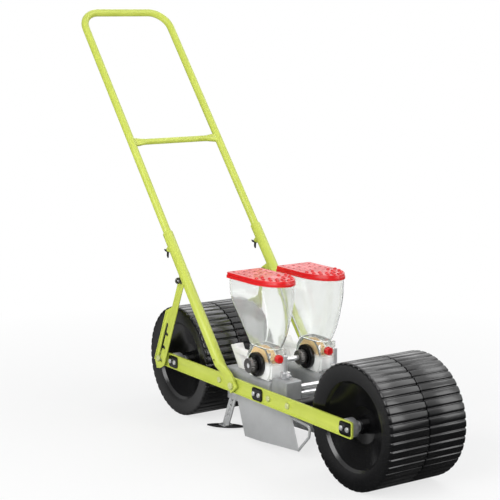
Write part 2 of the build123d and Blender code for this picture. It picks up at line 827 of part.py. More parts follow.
def brush_block(y):
    """White leaning block on the casting, with the tongue that wipes the seed roller."""
    outline = Polyline(brush_top_rear, brush_top_front, (brush_foot_front_x, base_top_z),
                       (brush_foot_rear_x, base_top_z), close=True)
    body = across(make_face(outline), y - brush_half_width, y + brush_half_width)
    body = fillet(body.edges().filter_by(Axis.Y).group_by(Axis.Z)[-1], 3)
    tip_x = shaft_x - seed_roller_radius - 2 * tongue_gap
    roller_y = y + seed_roller_offset
    tongue = block(brush_foot_rear_x - 8, tip_x, roller_y - tongue_half_width, roller_y + tongue_half_width,
                   tongue_bottom_z, tongue_top_z)
    return body + tongue


def brush_knob(y):
    """Red fluted knob on a short spindle."""
    seat = (brush_boss_face_x + running_fit, y + brush_knob_offset, brush_knob_z)
    start = Plane(origin=seat, z_dir=(1, 0, 0))
    outline = Circle(brush_knob_radius)
    for place in PolarLocations(brush_knob_radius + brush_knob_flute_radius / 2, brush_knob_flutes):
        outline -= place * Circle(brush_knob_flute_radius)
    knob = extrude(start * outline, brush_knob_length)
    knob = fillet(knob.faces().sort_by(Axis.X)[-1].edges(), 2)
    return knob + extrude(start * Circle(brush_spindle_radius), -(brush_spindle_depth - 0.3))


def opener(y):
    """Boat-shaped boot of folded sheet, raked forwards, open behind and below, with its welded guard rod."""
    lean_forward = Vector(-opener_rake, 0, 1)
    height = opener_top_z * lean_forward.length
    floor_shift = opener_rake * opener_rear_z

    def boat(rear_x, tip_x, half_width):
        corners = [(rear_x, -half_width), (opener_bend_x, -half_width), (tip_x, 0),
                   (opener_bend_x, half_width), (rear_x, half_width)]
        face = make_face(Polyline(*corners, close=True))
        return extrude(Pos(floor_shift, y, 0) * face, height, dir=lean_forward)

    prow = math.atan2(opener_half_width, opener_tip_x - opener_bend_x)
    inner_tip = opener_tip_x - opener_sheet / math.sin(prow)
    boot = boat(opener_rear_x, opener_tip_x, opener_half_width)
    boot -= boat(opener_rear_x - 5, inner_tip, opener_half_width - opener_sheet)
    boot += block(opener_plate_rear_x, opener_plate_front_x, y - opener_half_width, y + opener_half_width,
                  opener_top_z - opener_top_plate, opener_top_z)
    slope = (opener_tip_z - opener_rear_z) / (opener_tip_x - opener_rear_x)
    reach = 150
    sole = Polyline((opener_rear_x - reach, opener_rear_z - slope * reach),
                    (opener_tip_x + reach, opener_tip_z + slope * reach),
                    (opener_tip_x + reach, -reach), (opener_rear_x - reach, -reach), close=True)
    boot -= across(make_face(sole), y - reach, y + reach)
    room = spout_radius + 2
    boot -= block(spout_x - 2 * room, spout_x + 2 * room, y - room + 1, y + room - 1,
                  opener_top_z - opener_top_plate - 1, opener_top_z + 1)
    edge_x = opener_tip_x - opener_rake * (guard_top_z - opener_rear_z)
    route = FilletPolyline((edge_x - 6, y, guard_top_z), (guard_front_x, y, guard_front_z),
                           (guard_front_x - 4, y, guard_low_z), (opener_tip_x - 9, y, opener_tip_z + 1),
                           radius=guard_bend)
    start = Plane(origin=route @ 0, z_dir=route % 0)
    return boot + sweep(start * Circle(guard_radius), path=route)


def depth_rod(y):
    """Bright rod that carries the opener through the casting."""
    bar = upright(depth_rod_x, y, depth_rod_radius, opener_top_z, depth_rod_top_z)
    return chamfer(bar.edges().group_by(Axis.Z)[-1], 1)


def depth_clamps():
    """Clamp collars on the castings, each with its screw at the front."""
    clamps = []
    for side in sides.values():
        y = side * row_y
        clamp = upright(depth_rod_x, y, clamp_radius, block_top_z, block_top_z + clamp_height)
        screw = Plane(origin=(depth_rod_x, y, block_top_z + clamp_height / 2), z_dir=(1, 0, 0))
        clamp += extrude(screw * RegularPolygon(clamp_screw_radius + 1, 6), clamp_radius + clamp_screw_length)
        bore = depth_rod_radius + running_fit
        clamps.append(clamp - upright(depth_rod_x, y, bore, block_top_z - 1, block_top_z + clamp_height + 1))
    return group(clamps)


def coverer_hangers():
    """Folded plates under the castings, each with the stud that a coverer arm swings on."""
    hangers = []
    for side in sides.values():
        y = side * row_y
        inner = y + side * (arm_sheet / 2 + arm_gap)
        outer = inner + side * hanger_sheet
        cheek = block(hanger_rear_x, hanger_front_x, inner, outer, hanger_bottom_z, base_bottom_z)
        foot = block(hanger_rear_x, hanger_front_x, outer, inner - side * hanger_foot,
                     base_bottom_z - hanger_sheet, base_bottom_z)
        far = y - side * (arm_sheet / 2 + arm_gap)
        stud = rod(coverer_pivot_x, coverer_pivot_z, coverer_pin_radius, inner, far)
        head = rod(coverer_pivot_x, coverer_pivot_z, coverer_pin_head, far, far - side * hanger_sheet)
        hangers.append(cheek + foot + stud + head)
    return group(hangers)


def coverer_arm(y):
    """Perforated strip that trails behind the opener, with a bent foot on its shoe."""
    top = Vector(coverer_pivot_x, coverer_pivot_z)
    shoe_top_z = shoe_bottom_z + shoe_thickness
    foot = Vector(arm_foot_x, shoe_top_z)
    along = (foot - top).normalized()
    square = Vector(-along.Y, along.X)
    half = arm_width / 2
    strip = make_face(Polyline(*[(p.X, p.Y) for p in (
        top + square * half, foot + square * half + along * 10,
        foot - square * half + along * 10, top - square * half)], close=True))
    strip += Pos(top.X, top.Y) * Circle(half)
    arm = across(strip, y - arm_sheet / 2, y + arm_sheet / 2)
    arm -= rod(top.X, top.Y, coverer_pin_radius + running_fit, y - arm_sheet, y + arm_sheet)
    for number in range(1, arm_hole_count + 1):
        place = top + along * (arm_hole_pitch * number + 4)
        arm -= rod(place.X, place.Y, arm_hole_radius, y - arm_sheet, y + arm_sheet)
    arm -= block(arm_foot_x - arm_width * 2, arm_foot_x + arm_width * 2, y - arm_sheet, y + arm_sheet,
                 shoe_top_z - 3 * arm_width, shoe_top_z)
    return arm + block(arm_foot_x - arm_width / 2, arm_foot_x + arm_width / 2, y - shoe_foot_length / 2,
                       y + shoe_foot_length / 2, shoe_top_z, shoe_top_z + arm_sheet)


def coverer_shoe(y, side):
    """Flat black spindle-shaped plate, set across the row, that draws soil over the seed."""
    tip = shoe_half_length
    outline = make_face([ThreePointArc((-tip, 0), (0, shoe_half_width), (tip, 0)),
                         ThreePointArc((tip, 0), (0, -shoe_half_width), (-tip, 0))])
    place = Pos(arm_foot_x, y, shoe_bottom_z) * Rot(0, 0, -side * shoe_angle)
    return extrude(place * outline, shoe_thickness)


# Chain drive


def pitch_radius(teeth):
    return chain_pitch / 2 / math.sin(math.pi / teeth)


def toothed_wheel(x, z, teeth, y):
    """A sprocket's toothed disc about the plane y."""
    radius = pitch_radius(teeth)
    outline = Circle(radius + tooth_height)
    for place in PolarLocations(radius, teeth):
        outline -= place * Circle(chain_roller_radius + running_fit)
    return across(Pos(x, z) * outline, y - sprocket_width / 2, y + sprocket_width / 2)


def sprocket(x, z, teeth, y, bore_radius, end_y):
    """A sprocket with a hub on its outer face."""
    wheel = toothed_wheel(x, z, teeth, y) + rod(x, z, sprocket_hub_radius, y, end_y)
    return wheel - rod(x, z, bore_radius + press_gap, y - sprocket_width, end_y)


def idler_sprockets():
    """A spindle through the left rail, with the drive sprocket outside it and the feed sprocket inside."""
    start = feed_chain_y - sprocket_width / 2
    end = drive_chain_y + shaft_past_chain
    pair = toothed_wheel(idler_x, idler_z, idler_teeth, drive_chain_y)
    pair += toothed_wheel(idler_x, idler_z, seed_teeth, feed_chain_y)
    pair += rod(idler_x, idler_z, idler_spindle_radius, start, end)
    return pair + rod(idler_x, idler_z, sprocket_hub_radius, drive_chain_y, end)


def idler_bush():
    """Flanged bush in the left rail that the idler's spindle turns in."""
    end = drive_chain_y - sprocket_width / 2 - chain_inner_gap
    bush = rod(idler_x, idler_z, idler_neck_radius, web_inner_y, web_outer_y)
    bush += rod(idler_x, idler_z, idler_flange_radius, web_outer_y, end)
    return bush - rod(idler_x, idler_z, idler_spindle_radius + running_fit, web_inner_y, end)


def chain_band(first, second, offset):
    """The area inside a line round two sprockets (x, z, teeth) at a distance from their pitch lines."""
    circles = [Pos(x, z) * Circle(pitch_radius(teeth) + offset) for x, z, teeth in (first, second)]
    return make_hull(circles[0].edges() + circles[1].edges())


def chain(first, second, y):
    """A closed chain: two side plates that straddle the sprockets, and rollers on the two straight runs."""
    outer = chain_plate_half_height
    band = chain_band(first, second, outer) - chain_band(first, second, -outer)
    gap = sprocket_width / 2 + chain_inner_gap
    pieces = []
    for inner in (y + gap, y - gap - chain_plate):
        pieces.append(across(band, inner, inner + chain_plate))
    near = Vector(first[0], first[1])
    far = Vector(second[0], second[1])
    near_radius = pitch_radius(first[2])
    far_radius = pitch_radius(second[2])
    along = (far - near).normalized()
    slope = math.asin((far_radius - near_radius) / (far - near).length)
    for edge in (1, -1):
        normal = Vector(-along.Y, along.X) * edge
        away = normal * math.cos(slope) - along * math.sin(slope)
        start = near + away * near_radius
        run = far + away * far_radius - start
        count = int((run.length - 2 * chain_clear) / chain_pitch) + 1
        lead = (run.length - (count - 1) * chain_pitch) / 2
        for number in range(count):
            place = start + run.normalized() * (lead + number * chain_pitch)
            pieces.append(rod(place.X, place.Y, chain_roller_radius, y - gap, y + gap))
    return pieces[0].fuse(*pieces[1:])


# Handle


def leg_plane(side):
    """Local z runs up the leg, local x is +Y and local y points back and down from the leg."""
    return Plane(origin=(leg_pivot_x, side * leg_y, axle_z), x_dir=(0, 1, 0), z_dir=leg_direction)


def lower_leg(side):
    """Wide tube with a flattened foot on the rail, a lug for the strut and a boss for the clamp screw."""
    plane = leg_plane(side)
    foot_middle = -side * (leg_radius - leg_foot_thickness / 2)
    foot = Pos(foot_middle, 0) * Rectangle(leg_foot_thickness, leg_foot_width)
    leg = extrude(plane.offset(leg_round_start) * Circle(leg_radius), leg_length - leg_round_start)
    leg += loft([plane.offset(leg_flat_end) * foot, plane.offset(leg_round_start) * Circle(leg_radius)])
    leg += extrude(plane.offset(-leg_foot_end) * foot, leg_foot_end + leg_flat_end)
    y_inner = side * (rail_outer_y + leg_rail_gap)
    y_outer = y_inner + side * leg_foot_thickness
    leg -= rod(leg_pivot_x, axle_z, pivot_radius + running_fit, y_inner - side, y_outer + side)
    boss = Plane(origin=plane.from_local_coords((0, 0, screw_position)), z_dir=plane.y_dir)
    leg += extrude(boss * Circle(screw_boss_radius), screw_boss_end)
    lug_from = side * (rail_outer_y + lug_rail_gap)
    reach = Vector(strut_bolt_x - leg_pivot_x, 0, strut_bolt_z - axle_z).dot(leg_direction)
    root = Vector(leg_pivot_x, 0, axle_z) + leg_direction * reach
    eye = Pos(strut_bolt_x, strut_bolt_z) * Circle(lug_radius)
    seat = Pos(root.X, root.Z) * Circle(lug_root_radius)
    leg += across(make_hull(eye.edges() + seat.edges()), lug_from, lug_from + side * lug_thickness)
    leg -= rod(strut_bolt_x, strut_bolt_z, strut_bolt_radius + press_gap,
               lug_from - side, lug_from + 9 * side)
    leg -= extrude(plane.offset(leg_round_start + 2) * Circle(leg_bore_radius), leg_length)
    leg -= extrude(boss * Circle(screw_radius + running_fit), screw_boss_end + 1)
    dot = Plane(origin=plane.from_local_coords((0, 0, leg_hole_position)), z_dir=(0, side, 0))
    return leg - extrude(dot * Circle(leg_hole_radius), leg_radius + 1)


def upper_handle():
    """One bent tube whose ends slide in the lower legs, with a welded cross bar pinched flat at its ends."""
    plane = Plane(origin=(leg_pivot_x, 0, axle_z), x_dir=(0, 1, 0),
                  z_dir=(math.cos(lean), 0, math.sin(lean)))
    start = leg_length - handle_insert
    corners = [(-leg_y, start), (-leg_y, handle_top), (leg_y, handle_top), (leg_y, start)]
    route = FilletPolyline(*[plane.from_local_coords((*corner, 0)) for corner in corners], radius=handle_bend)
    end = Plane(origin=route @ 0, z_dir=route % 0)
    tube = sweep(end * Circle(handle_tube_radius), path=route)
    hollow = sweep(end * Circle(handle_tube_radius - handle_tube_wall), path=route)
    middle = plane.from_local_coords((0, crossbar_position, 0))
    flat_start = leg_y - handle_tube_radius - crossbar_flat_length
    centre = Plane(origin=middle, x_dir=plane.y_dir, z_dir=(0, 1, 0))
    bar = extrude(centre * Circle(crossbar_radius), flat_start, both=True)
    pinch = Rectangle(crossbar_flat_width, crossbar_flat_thickness)
    for end_plane in (centre, Plane(origin=middle, x_dir=plane.y_dir, z_dir=(0, -1, 0))):
        bar += loft([end_plane.offset(flat_start) * Circle(crossbar_radius), end_plane.offset(leg_y) * pinch])
    return tube + bar - hollow


def clamp_screw(side):
    """Wing screw that grips the upper handle."""
    plane = leg_plane(side)
    base = Plane(origin=plane.from_local_coords((0, 0, screw_position)), x_dir=plane.z_dir, z_dir=plane.y_dir)
    tip = leg_bore_radius
    neck_end = screw_boss_end + screw_neck
    screw = extrude(base.offset(tip) * Circle(screw_radius), neck_end - tip + 2)
    wing = Polyline((0, 0), (screw_wing_width / 2, screw_wing_height), (screw_wing_width / 4, screw_wing_height),
                    (0, screw_wing_height / 2), (-screw_wing_width / 4, screw_wing_height),
                    (-screw_wing_width / 2, screw_wing_height), close=True)
    face = Plane(origin=base.from_local_coords((0, 0, neck_end - 2)), x_dir=base.x_dir,
                 z_dir=base.x_dir.cross(base.z_dir))
    screw += extrude(face * make_face(wing), screw_wing_thickness / 2, both=True)
    collar = extrude(base.offset(screw_boss_end + 0.5) * Circle(screw_radius + 2), screw_neck)
    return screw + collar


# Struts


def strut_plane_y():
    """The inner face of a strut, outside its lug."""
    return rail_outer_y + lug_rail_gap + lug_thickness + lug_gap


def strut_line(tilt):
    """Distance from strut bolt to pin along the slot, and the slot's angle from upright, at a handle tilt."""
    turn = math.radians(tilt)
    arm = Vector(strut_bolt_x - leg_pivot_x, strut_bolt_z - axle_z)
    bolt_x = leg_pivot_x + arm.X * math.cos(turn) - arm.Y * math.sin(turn)
    bolt_z = axle_z + arm.X * math.sin(turn) + arm.Y * math.cos(turn)
    span = math.hypot(bolt_x - strut_pin_x, bolt_z - axle_z)
    along = math.sqrt(span ** 2 - strut_slot_offset ** 2)
    angle = math.atan2(bolt_x - strut_pin_x, bolt_z - axle_z) - math.asin(strut_slot_offset / span)
    return along, angle


def strut(side):
    """Slotted plate from the leg's lug to the rail's pin, with notches that hold the handle's lean."""
    rest_along, angle = strut_line(0)
    y_from = side * strut_plane_y()
    y_to = y_from + side * strut_sheet
    plane = Plane(origin=(strut_bolt_x, y_from, strut_bolt_z), z_dir=(0, side, 0),
                  x_dir=(math.cos(angle), 0, -math.sin(angle)))
    flip = 1 if plane.y_dir.Z > 0 else -1

    def down(v, w):
        return (v, -flip * w)

    neck = strut_neck_half_width
    tail = rest_along + strut_tail
    rear = strut_rear_edge
    shoulder_end = strut_neck_length + strut_shoulder
    outline = Polyline(down(-neck, 0), down(-neck, strut_neck_length), down(-rear, shoulder_end),
                       down(-rear, tail - strut_rear_cut), down(-rear / 2, tail), down(0, tail - strut_tail_cut),
                       down(neck, tail - strut_front_cut), down(neck, 0), close=True)
    plate = make_face(outline) + Circle(strut_eye_radius)
    lengths = [strut_line(step)[0] for step in tilt_steps]
    slot_end = rest_along + strut_slot_half_width + 1
    slot = SlotOverall(slot_end - strut_slot_top, 2 * strut_slot_half_width, rotation=90)
    middle = down(-strut_slot_offset, (strut_slot_top + slot_end) / 2)
    plate -= Pos(*middle) * slot
    for length in lengths:
        notch = SlotOverall(strut_notch_reach + 2 * strut_slot_half_width, 2 * strut_slot_half_width)
        seat = down(-strut_slot_offset + strut_notch_reach / 2, length)
        plate -= Pos(*seat) * notch
    piece = extrude(plane * plate, strut_sheet)
    piece -= rod(strut_bolt_x, strut_bolt_z, strut_bolt_radius + running_fit, y_from - side, y_to + side)
    flange = Polyline(down(-rear, shoulder_end), down(-rear + strut_sheet, shoulder_end),
                      down(-rear + strut_sheet, tail - strut_rear_cut - 2), down(-rear, tail - strut_rear_cut - 2),
                      close=True)
    return piece + extrude(plane * make_face(flange), strut_flange)


def strut_bolts():
    """Bolts through the struts' eyes into the legs' lugs, each with an upright eye outside its head."""
    bolts = []
    for side in sides.values():
        lug_inner = rail_outer_y + lug_rail_gap
        head_seat = strut_plane_y() + strut_sheet + lug_gap
        bolt = headed_bolt(strut_bolt_x, strut_bolt_z, side, strut_bolt_radius, strut_bolt_head_radius,
                           strut_bolt_head, head_seat, lug_inner - strut_bolt_head)
        nut = across(Pos(strut_bolt_x, strut_bolt_z) * RegularPolygon(strut_bolt_head_radius, 6),
                     side * (lug_inner - strut_bolt_head), side * lug_inner)
        eye_y = side * (head_seat + strut_bolt_head + bolt_eye_radius)
        upright_ring = Plane(origin=(strut_bolt_x, eye_y, strut_bolt_z), z_dir=(1, 0, 0))
        eye = upright_ring * Torus(bolt_eye_radius, bolt_eye_bar)
        bolts.append(bolt + nut + eye)
    return group(bolts)


def strut_pins():
    """Headed pins on the rails that the struts' slots slide over."""
    pins = []
    for side in sides.values():
        seat = strut_plane_y() + strut_sheet + lug_gap
        pin = headed_bolt(strut_pin_x, axle_z, side, strut_pin_radius, strut_pin_head_radius,
                          strut_bolt_head, seat, web_inner_y)
        washer = rod(strut_pin_x, axle_z, strut_pin_head_radius, side * web_outer_y,
                     side * (strut_plane_y() - lug_gap))
        pins.append(pin + washer)
    return pins


def build():
    """Every node by name, with the rear axle at x = 0."""
    nodes = {
        "front_axle": front_axle(),
        "rear_axle": rod(0, axle_z, axle_radius, -web_inner_y, web_inner_y),
        "front_axle_collars": collars(wheelbase),
        "rear_axle_collars": collars(0),
        "axle_bearings": group(bearing(x, side) for x in (0, wheelbase) for side in sides.values()),
        "rail_plates": group(plate(x, side) for x in plate_places for side in sides.values()),
        "plate_bolts": group(plate_bolts()),
        "rail_bolts": group(rail_bolts() + leg_pivot_bolts() + strut_pins() + [idler_bush()]),
        "strut_bolts": strut_bolts(),
        "cross_tube": cross_tube(),
        "cross_rods": cross_rods(),
        "depth_clamps": depth_clamps(),
        "coverer_hangers": coverer_hangers(),
        "seed_shaft": rod(shaft_x, shaft_z, shaft_radius, lock_knob_outer_face(-row_y) + 1, shaft_end_y),
        "seed_sprocket": sprocket(shaft_x, shaft_z, seed_teeth, feed_chain_y, shaft_radius, shaft_end_y - 1),
        "axle_sprocket": sprocket(wheelbase, axle_z, axle_teeth, drive_chain_y, axle_stub_radius,
                                  axle_end_y - 1),
        "idler_sprockets": idler_sprockets(),
        "drive_chain": chain((idler_x, idler_z, idler_teeth), (wheelbase, axle_z, axle_teeth), drive_chain_y),
        "feed_chain": chain((idler_x, idler_z, seed_teeth), (shaft_x, shaft_z, seed_teeth), feed_chain_y),
        "upper_handle": upper_handle(),
    }
    for name, side in sides.items():
        y = side * row_y
        nodes[f"{name}_side_rail"] = rail(side)
        nodes[f"front_{name}_drum"] = drum(wheelbase, side)
        nodes[f"rear_{name}_drum"] = drum(0, side)
        nodes[f"{name}_unit_base"] = unit_base(y, side)
        nodes[f"{name}_roller_housing"] = housing(y)
        nodes[f"{name}_roller_door"] = door(y)
        nodes[f"{name}_bearing_disc"] = bearing_disc(y)
        nodes[f"{name}_seed_roller"] = seed_roller(y)
        nodes[f"{name}_lock_knob"] = lock_knob(y)
        nodes[f"{name}_hopper"] = hopper(y)
        nodes[f"{name}_hopper_lid"] = lid(y)
        nodes[f"{name}_brush_block"] = brush_block(y)
        nodes[f"{name}_brush_knob"] = brush_knob(y)
        nodes[f"{name}_opener"] = opener(y)
        nodes[f"{name}_depth_rod"] = depth_rod(y)
        nodes[f"{name}_coverer_arm"] = coverer_arm(y)
        nodes[f"{name}_coverer_shoe"] = coverer_shoe(y, side)
        nodes[f"{name}_lower_leg"] = lower_leg(side)
        nodes[f"{name}_clamp_screw"] = clamp_screw(side)
        nodes[f"{name}_strut"] = strut(side)
    return nodes


def middle_x():
    """Half way between the handle's rearmost point and the front roller's foremost point."""
    rear = leg_pivot_x - handle_top * math.sin(lean) - handle_tube_radius
    front = wheelbase + roller_diameter / 2
    return (rear + front) / 2


if __name__ == "__main__":
    os.makedirs("parts", exist_ok=True)
    for node, shape in build().items():
        export_step(Pos(-middle_x(), 0, 0) * shape, f"parts/{node}.step")
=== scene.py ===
# %% [markdown]
# # A walk-behind seed planter
# Two black ribbed rollers carry a lime frame, and two clear hoppers feed seed to the ground between them.
# The frame file already holds every working part in its true place, in metres, so nothing is fitted by eye.
# Here those parts get their finish. Pieces that need rounder or finer forms are modelled again in place.

# %% Load the frame
import json
import math
import bmesh
import bpy
from mathutils import Matrix, Vector, geometry


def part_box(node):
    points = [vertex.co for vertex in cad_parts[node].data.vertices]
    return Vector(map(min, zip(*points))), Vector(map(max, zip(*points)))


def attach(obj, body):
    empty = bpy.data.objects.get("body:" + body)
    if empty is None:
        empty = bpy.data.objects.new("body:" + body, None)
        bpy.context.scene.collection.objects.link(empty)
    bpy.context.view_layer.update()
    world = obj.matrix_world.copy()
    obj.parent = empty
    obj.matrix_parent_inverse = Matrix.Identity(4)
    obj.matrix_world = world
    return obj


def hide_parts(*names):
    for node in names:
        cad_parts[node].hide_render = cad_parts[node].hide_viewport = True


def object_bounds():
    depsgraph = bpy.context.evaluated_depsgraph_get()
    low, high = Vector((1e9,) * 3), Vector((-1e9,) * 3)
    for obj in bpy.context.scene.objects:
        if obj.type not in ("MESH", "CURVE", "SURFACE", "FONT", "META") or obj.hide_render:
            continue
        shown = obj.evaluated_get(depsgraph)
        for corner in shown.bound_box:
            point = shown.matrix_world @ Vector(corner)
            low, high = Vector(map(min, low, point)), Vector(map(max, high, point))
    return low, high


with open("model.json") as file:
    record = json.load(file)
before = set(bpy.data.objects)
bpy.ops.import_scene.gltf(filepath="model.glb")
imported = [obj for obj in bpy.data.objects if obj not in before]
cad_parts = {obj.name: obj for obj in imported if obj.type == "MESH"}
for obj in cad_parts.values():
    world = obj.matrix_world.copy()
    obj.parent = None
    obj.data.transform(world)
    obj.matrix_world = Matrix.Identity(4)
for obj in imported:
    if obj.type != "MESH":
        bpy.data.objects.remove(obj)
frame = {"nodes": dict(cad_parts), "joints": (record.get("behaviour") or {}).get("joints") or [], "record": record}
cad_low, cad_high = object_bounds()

MM = 0.001
nodes = frame["nodes"]
body_of_node = {}
for body, members in frame["record"]["behaviour"]["bodies"].items():
    for member in members:
        body_of_node[member] = body
slot_of_node = {part["node"]: part["material_slot"] for part in frame["record"]["subparts"]}
joint_place = {joint["name"]: Vector(joint.get("pos_m") or (0, 0, 0)) for joint in frame["joints"]}

# %% [markdown]
# ## Colours and nodes
# Colours are written as the hex values that a paint chart or a picture program shows.
# Blender's shaders work in linear light, so one function converts them.
# One more function adds a shader node and takes its settings and links, which keeps each finish short.

# %% Two small helpers
def linear(hex_colour):
    """A linear RGBA colour from an sRGB hex value."""
    channels = []
    for place in (1, 3, 5):
        value = int(hex_colour[place:place + 2], 16) / 255
        channels.append(value / 12.92 if value <= 0.04045 else ((value + 0.055) / 1.055) ** 2.4)
    return (*channels, 1.0)


def add(tree, kind, inputs=None, **settings):
    """Adds a node; a socket among the inputs is linked and any other value is set."""
    node = tree.nodes.new(kind)
    for name, value in settings.items():
        setattr(node, name, value)
    for name, value in (inputs or {}).items():
        if isinstance(value, bpy.types.NodeSocket):
            tree.links.new(value, node.inputs[name])
        else:
            node.inputs[name].default_value = value
    return node


print("mid grey is", round(linear("#808080")[0], 3), "in linear light")

# %% [markdown]
# ## One recipe for solid finishes
# Paint, moulded plastic and bare metal differ in numbers more than in kind.
# Each has a colour that drifts softly, a gloss that is never quite even, a fine grain,
# and edges that wear first.
# The edge is found by comparing a rounded normal with the true one, so it works on any mesh from any side.

# %% The recipe
shade_reach = 6.0


def finish(name, low, high, cloud, rough, grain, depth, edge_wear_and_highlight, edge_band, metallic=0.0, recess_shade=None, **shader):
    """A solid finish. cloud and grain are pattern sizes in mm, depth is the grain's height in mm,
    and rough is a pair of roughness values. edge_wear_and_highlight is the colour at the edges: scuffs,
    and on the zinc flake sheet also a painted highlight. edge_band is how far in mm that colour reaches in.
    recess_shade is painted shade: the colour that pits and corners are darkened to where ambient occlusion
    finds them closed in, within shade_reach in mm."""
    material = bpy.data.materials.new(name)
    material.use_nodes = True
    tree = material.node_tree
    tree.nodes.clear()
    place = add(tree, "ShaderNodeTexCoord").outputs["Object"]
    clouds = add(tree, "ShaderNodeTexNoise", {
        "Vector": place, "Scale": 1 / (cloud * MM), "Detail": 4.0, "Roughness": 0.6}).outputs["Fac"]
    spread = add(tree, "ShaderNodeMapRange", {
        "Value": clouds, "From Min": 0.3, "From Max": 0.7}).outputs["Result"]
    grains = add(tree, "ShaderNodeTexNoise", {
        "Vector": place, "Scale": 1 / (grain * MM), "Detail": 3.0, "Roughness": 0.55}).outputs["Fac"]
    colour = add(tree, "ShaderNodeMix", {0: spread, 6: linear(low), 7: linear(high)}, data_type="RGBA")
    rounded = add(tree, "ShaderNodeBevel", {"Radius": edge_band * MM}, samples=8).outputs["Normal"]
    true = add(tree, "ShaderNodeNewGeometry").outputs["Normal"]
    turn = add(tree, "ShaderNodeVectorMath", {0: rounded, 1: true}, operation="DOT_PRODUCT").outputs["Value"]
    edge = add(tree, "ShaderNodeMapRange", {
        "Value": turn, "From Min": 0.97, "From Max": 0.86, "To Max": 0.8}).outputs["Result"]
    broken = add(tree, "ShaderNodeMath", {0: edge, 1: spread}, operation="MULTIPLY").outputs["Value"]
    # Edges take their own colour: scuffs, and on the zinc flake sheet also a painted highlight.
    shown = add(tree, "ShaderNodeMix", {0: broken, 6: colour.outputs[2], 7: linear(edge_wear_and_highlight)}, data_type="RGBA")
    # Painted shade: pits and corners are darkened where ambient occlusion finds them closed in.
    if recess_shade:
        open_sky = add(tree, "ShaderNodeAmbientOcclusion", {
            "Distance": shade_reach * MM}, samples=8).outputs["AO"]
        painted_shade = add(tree, "ShaderNodeMapRange", {
            "Value": open_sky, "From Min": 0.9, "From Max": 0.45, "To Max": 0.9}).outputs["Result"]
        shown = add(tree, "ShaderNodeMix", {
            0: painted_shade, 6: shown.outputs[2], 7: linear(recess_shade)}, data_type="RGBA")
    gloss = add(tree, "ShaderNodeMapRange", {
        "Value": grains, "From Min": 0.3, "From Max": 0.7, "To Min": rough[0], "To Max": rough[1]})
    bump = add(tree, "ShaderNodeBump", {"Height": grains, "Distance": depth * MM, "Strength": 1.0})
    surface = add(tree, "ShaderNodeBsdfPrincipled", {
        "Base Color": shown.outputs[2], "Roughness": gloss.outputs["Result"],
        "Normal": bump.outputs["Normal"], "Metallic": metallic, **shader})
    add(tree, "ShaderNodeOutputMaterial", {"Surface": surface.outputs["BSDF"]})
    return material


print("the solid finish recipe is ready")

# %% [markdown]
# ## The finishes of the planter
# Each finish is named for what it is: powder coat, moulded polyethylene, ABS, cast aluminium and so on.
# The grain sizes are real ones where they show. Finer grain than about 1 mm is drawn at 1 mm or more,
# because the picture can't hold anything finer.

# %% Painted and plated steel
finishes = {}
# Powder coat flows into a soft, slightly pebbled skin that spreads highlights but stays bright.
finishes["lime_paint"] = finish(
    "lime_powder_coat", "#C3CF50", "#CBD65B", 60, (0.34, 0.44), 4.5, 0.04, "#DCE48A", 0.9, **{"IOR": 1.5})
# Stove paint on the small plates is flatter and nearly black.
finishes["black_steel"] = finish(
    "black_stove_paint", "#131314", "#1C1C1E", 18, (0.38, 0.5), 1.4, 0.04, "#3A3A3C", 0.6, **{"IOR": 1.5})
# Rolled sheet with a pale zinc skin: even, dull and a little cloudy, with edges that the soil keeps bright.
# Its broad pale edge band is partly that polish and partly a painted highlight.
finishes["grey_steel"] = finish(
    "zinc_flake_sheet", "#C4C5C6", "#CCCDCE", 35, (0.42, 0.55), 5.0, 0.04, "#EEEEEE", 2.4, metallic=0.35)
# Bright zinc plating on bolts and pins has a cool sheen with faint clouds.
finishes["zinc_steel"] = finish(
    "bright_zinc_plate", "#CFD0D1", "#DEDFE0", 6, (0.26, 0.34), 1.0, 0.003, "#F0F0F0", 0.5, metallic=0.65)
# Drawn and ground bar has a white satin sheen. Its grinding marks are too fine to draw, so they only
# soften the gloss.
finishes["bright_steel"] = finish(
    "ground_bright_bar", "#E6E7E7", "#F2F2F2", 12, (0.26, 0.34), 1.2, 0.003, "#F6F6F6", 0.4, metallic=0.55)
# Oiled chain steel is darker, with oil that evens its gloss.
finishes["chain_steel"] = finish(
    "oiled_chain_steel", "#5E5C5A", "#7A7876", 5, (0.28, 0.4), 1.0, 0.008, "#B0AEAB", 0.4, metallic=0.9)
print(len(finishes), "steel finishes")

# %% Castings and plastics
# Sand-cast aluminium keeps the grain of the mould, so it scatters light and looks grey rather than bright.
finishes["cast_aluminium"] = finish(
    "sand_cast_aluminium", "#989A9B", "#ACADAE", 22, (0.42, 0.58), 3.0, 0.12, "#C4C5C8", 1.0, metallic=0.25)
# Blow-moulded polyethylene is deep black with a waxy gloss and a faint flow in its skin.
finishes["black_roller"] = finish(
    "blow_moulded_polyethylene", "#0B0B0C", "#121213", 70, (0.17, 0.25), 3.0, 0.03, "#1E1E20", 1.2,
    **{"IOR": 1.52, "Specular IOR Level": 0.5})
# Injection-moulded ABS for the discs is black with a fine satin texture.
finishes["black_plastic"] = finish(
    "black_moulded_abs", "#0B0B0C", "#141415", 12, (0.18, 0.3), 1.2, 0.02, "#2A2A2C", 0.5,
    **{"IOR": 1.53, "Specular IOR Level": 0.35})
# The red caps are moulded from the same family of plastic and are glossy. Their pits are painted a deep red as
# shade, found by ambient occlusion.
finishes["red_plastic"] = finish(
    "red_moulded_abs", "#DB1014", "#E51B1F", 30, (0.26, 0.36), 2.2, 0.03, "#EE5B57", 0.6, recess_shade="#5A0709",
    **{"IOR": 1.53})
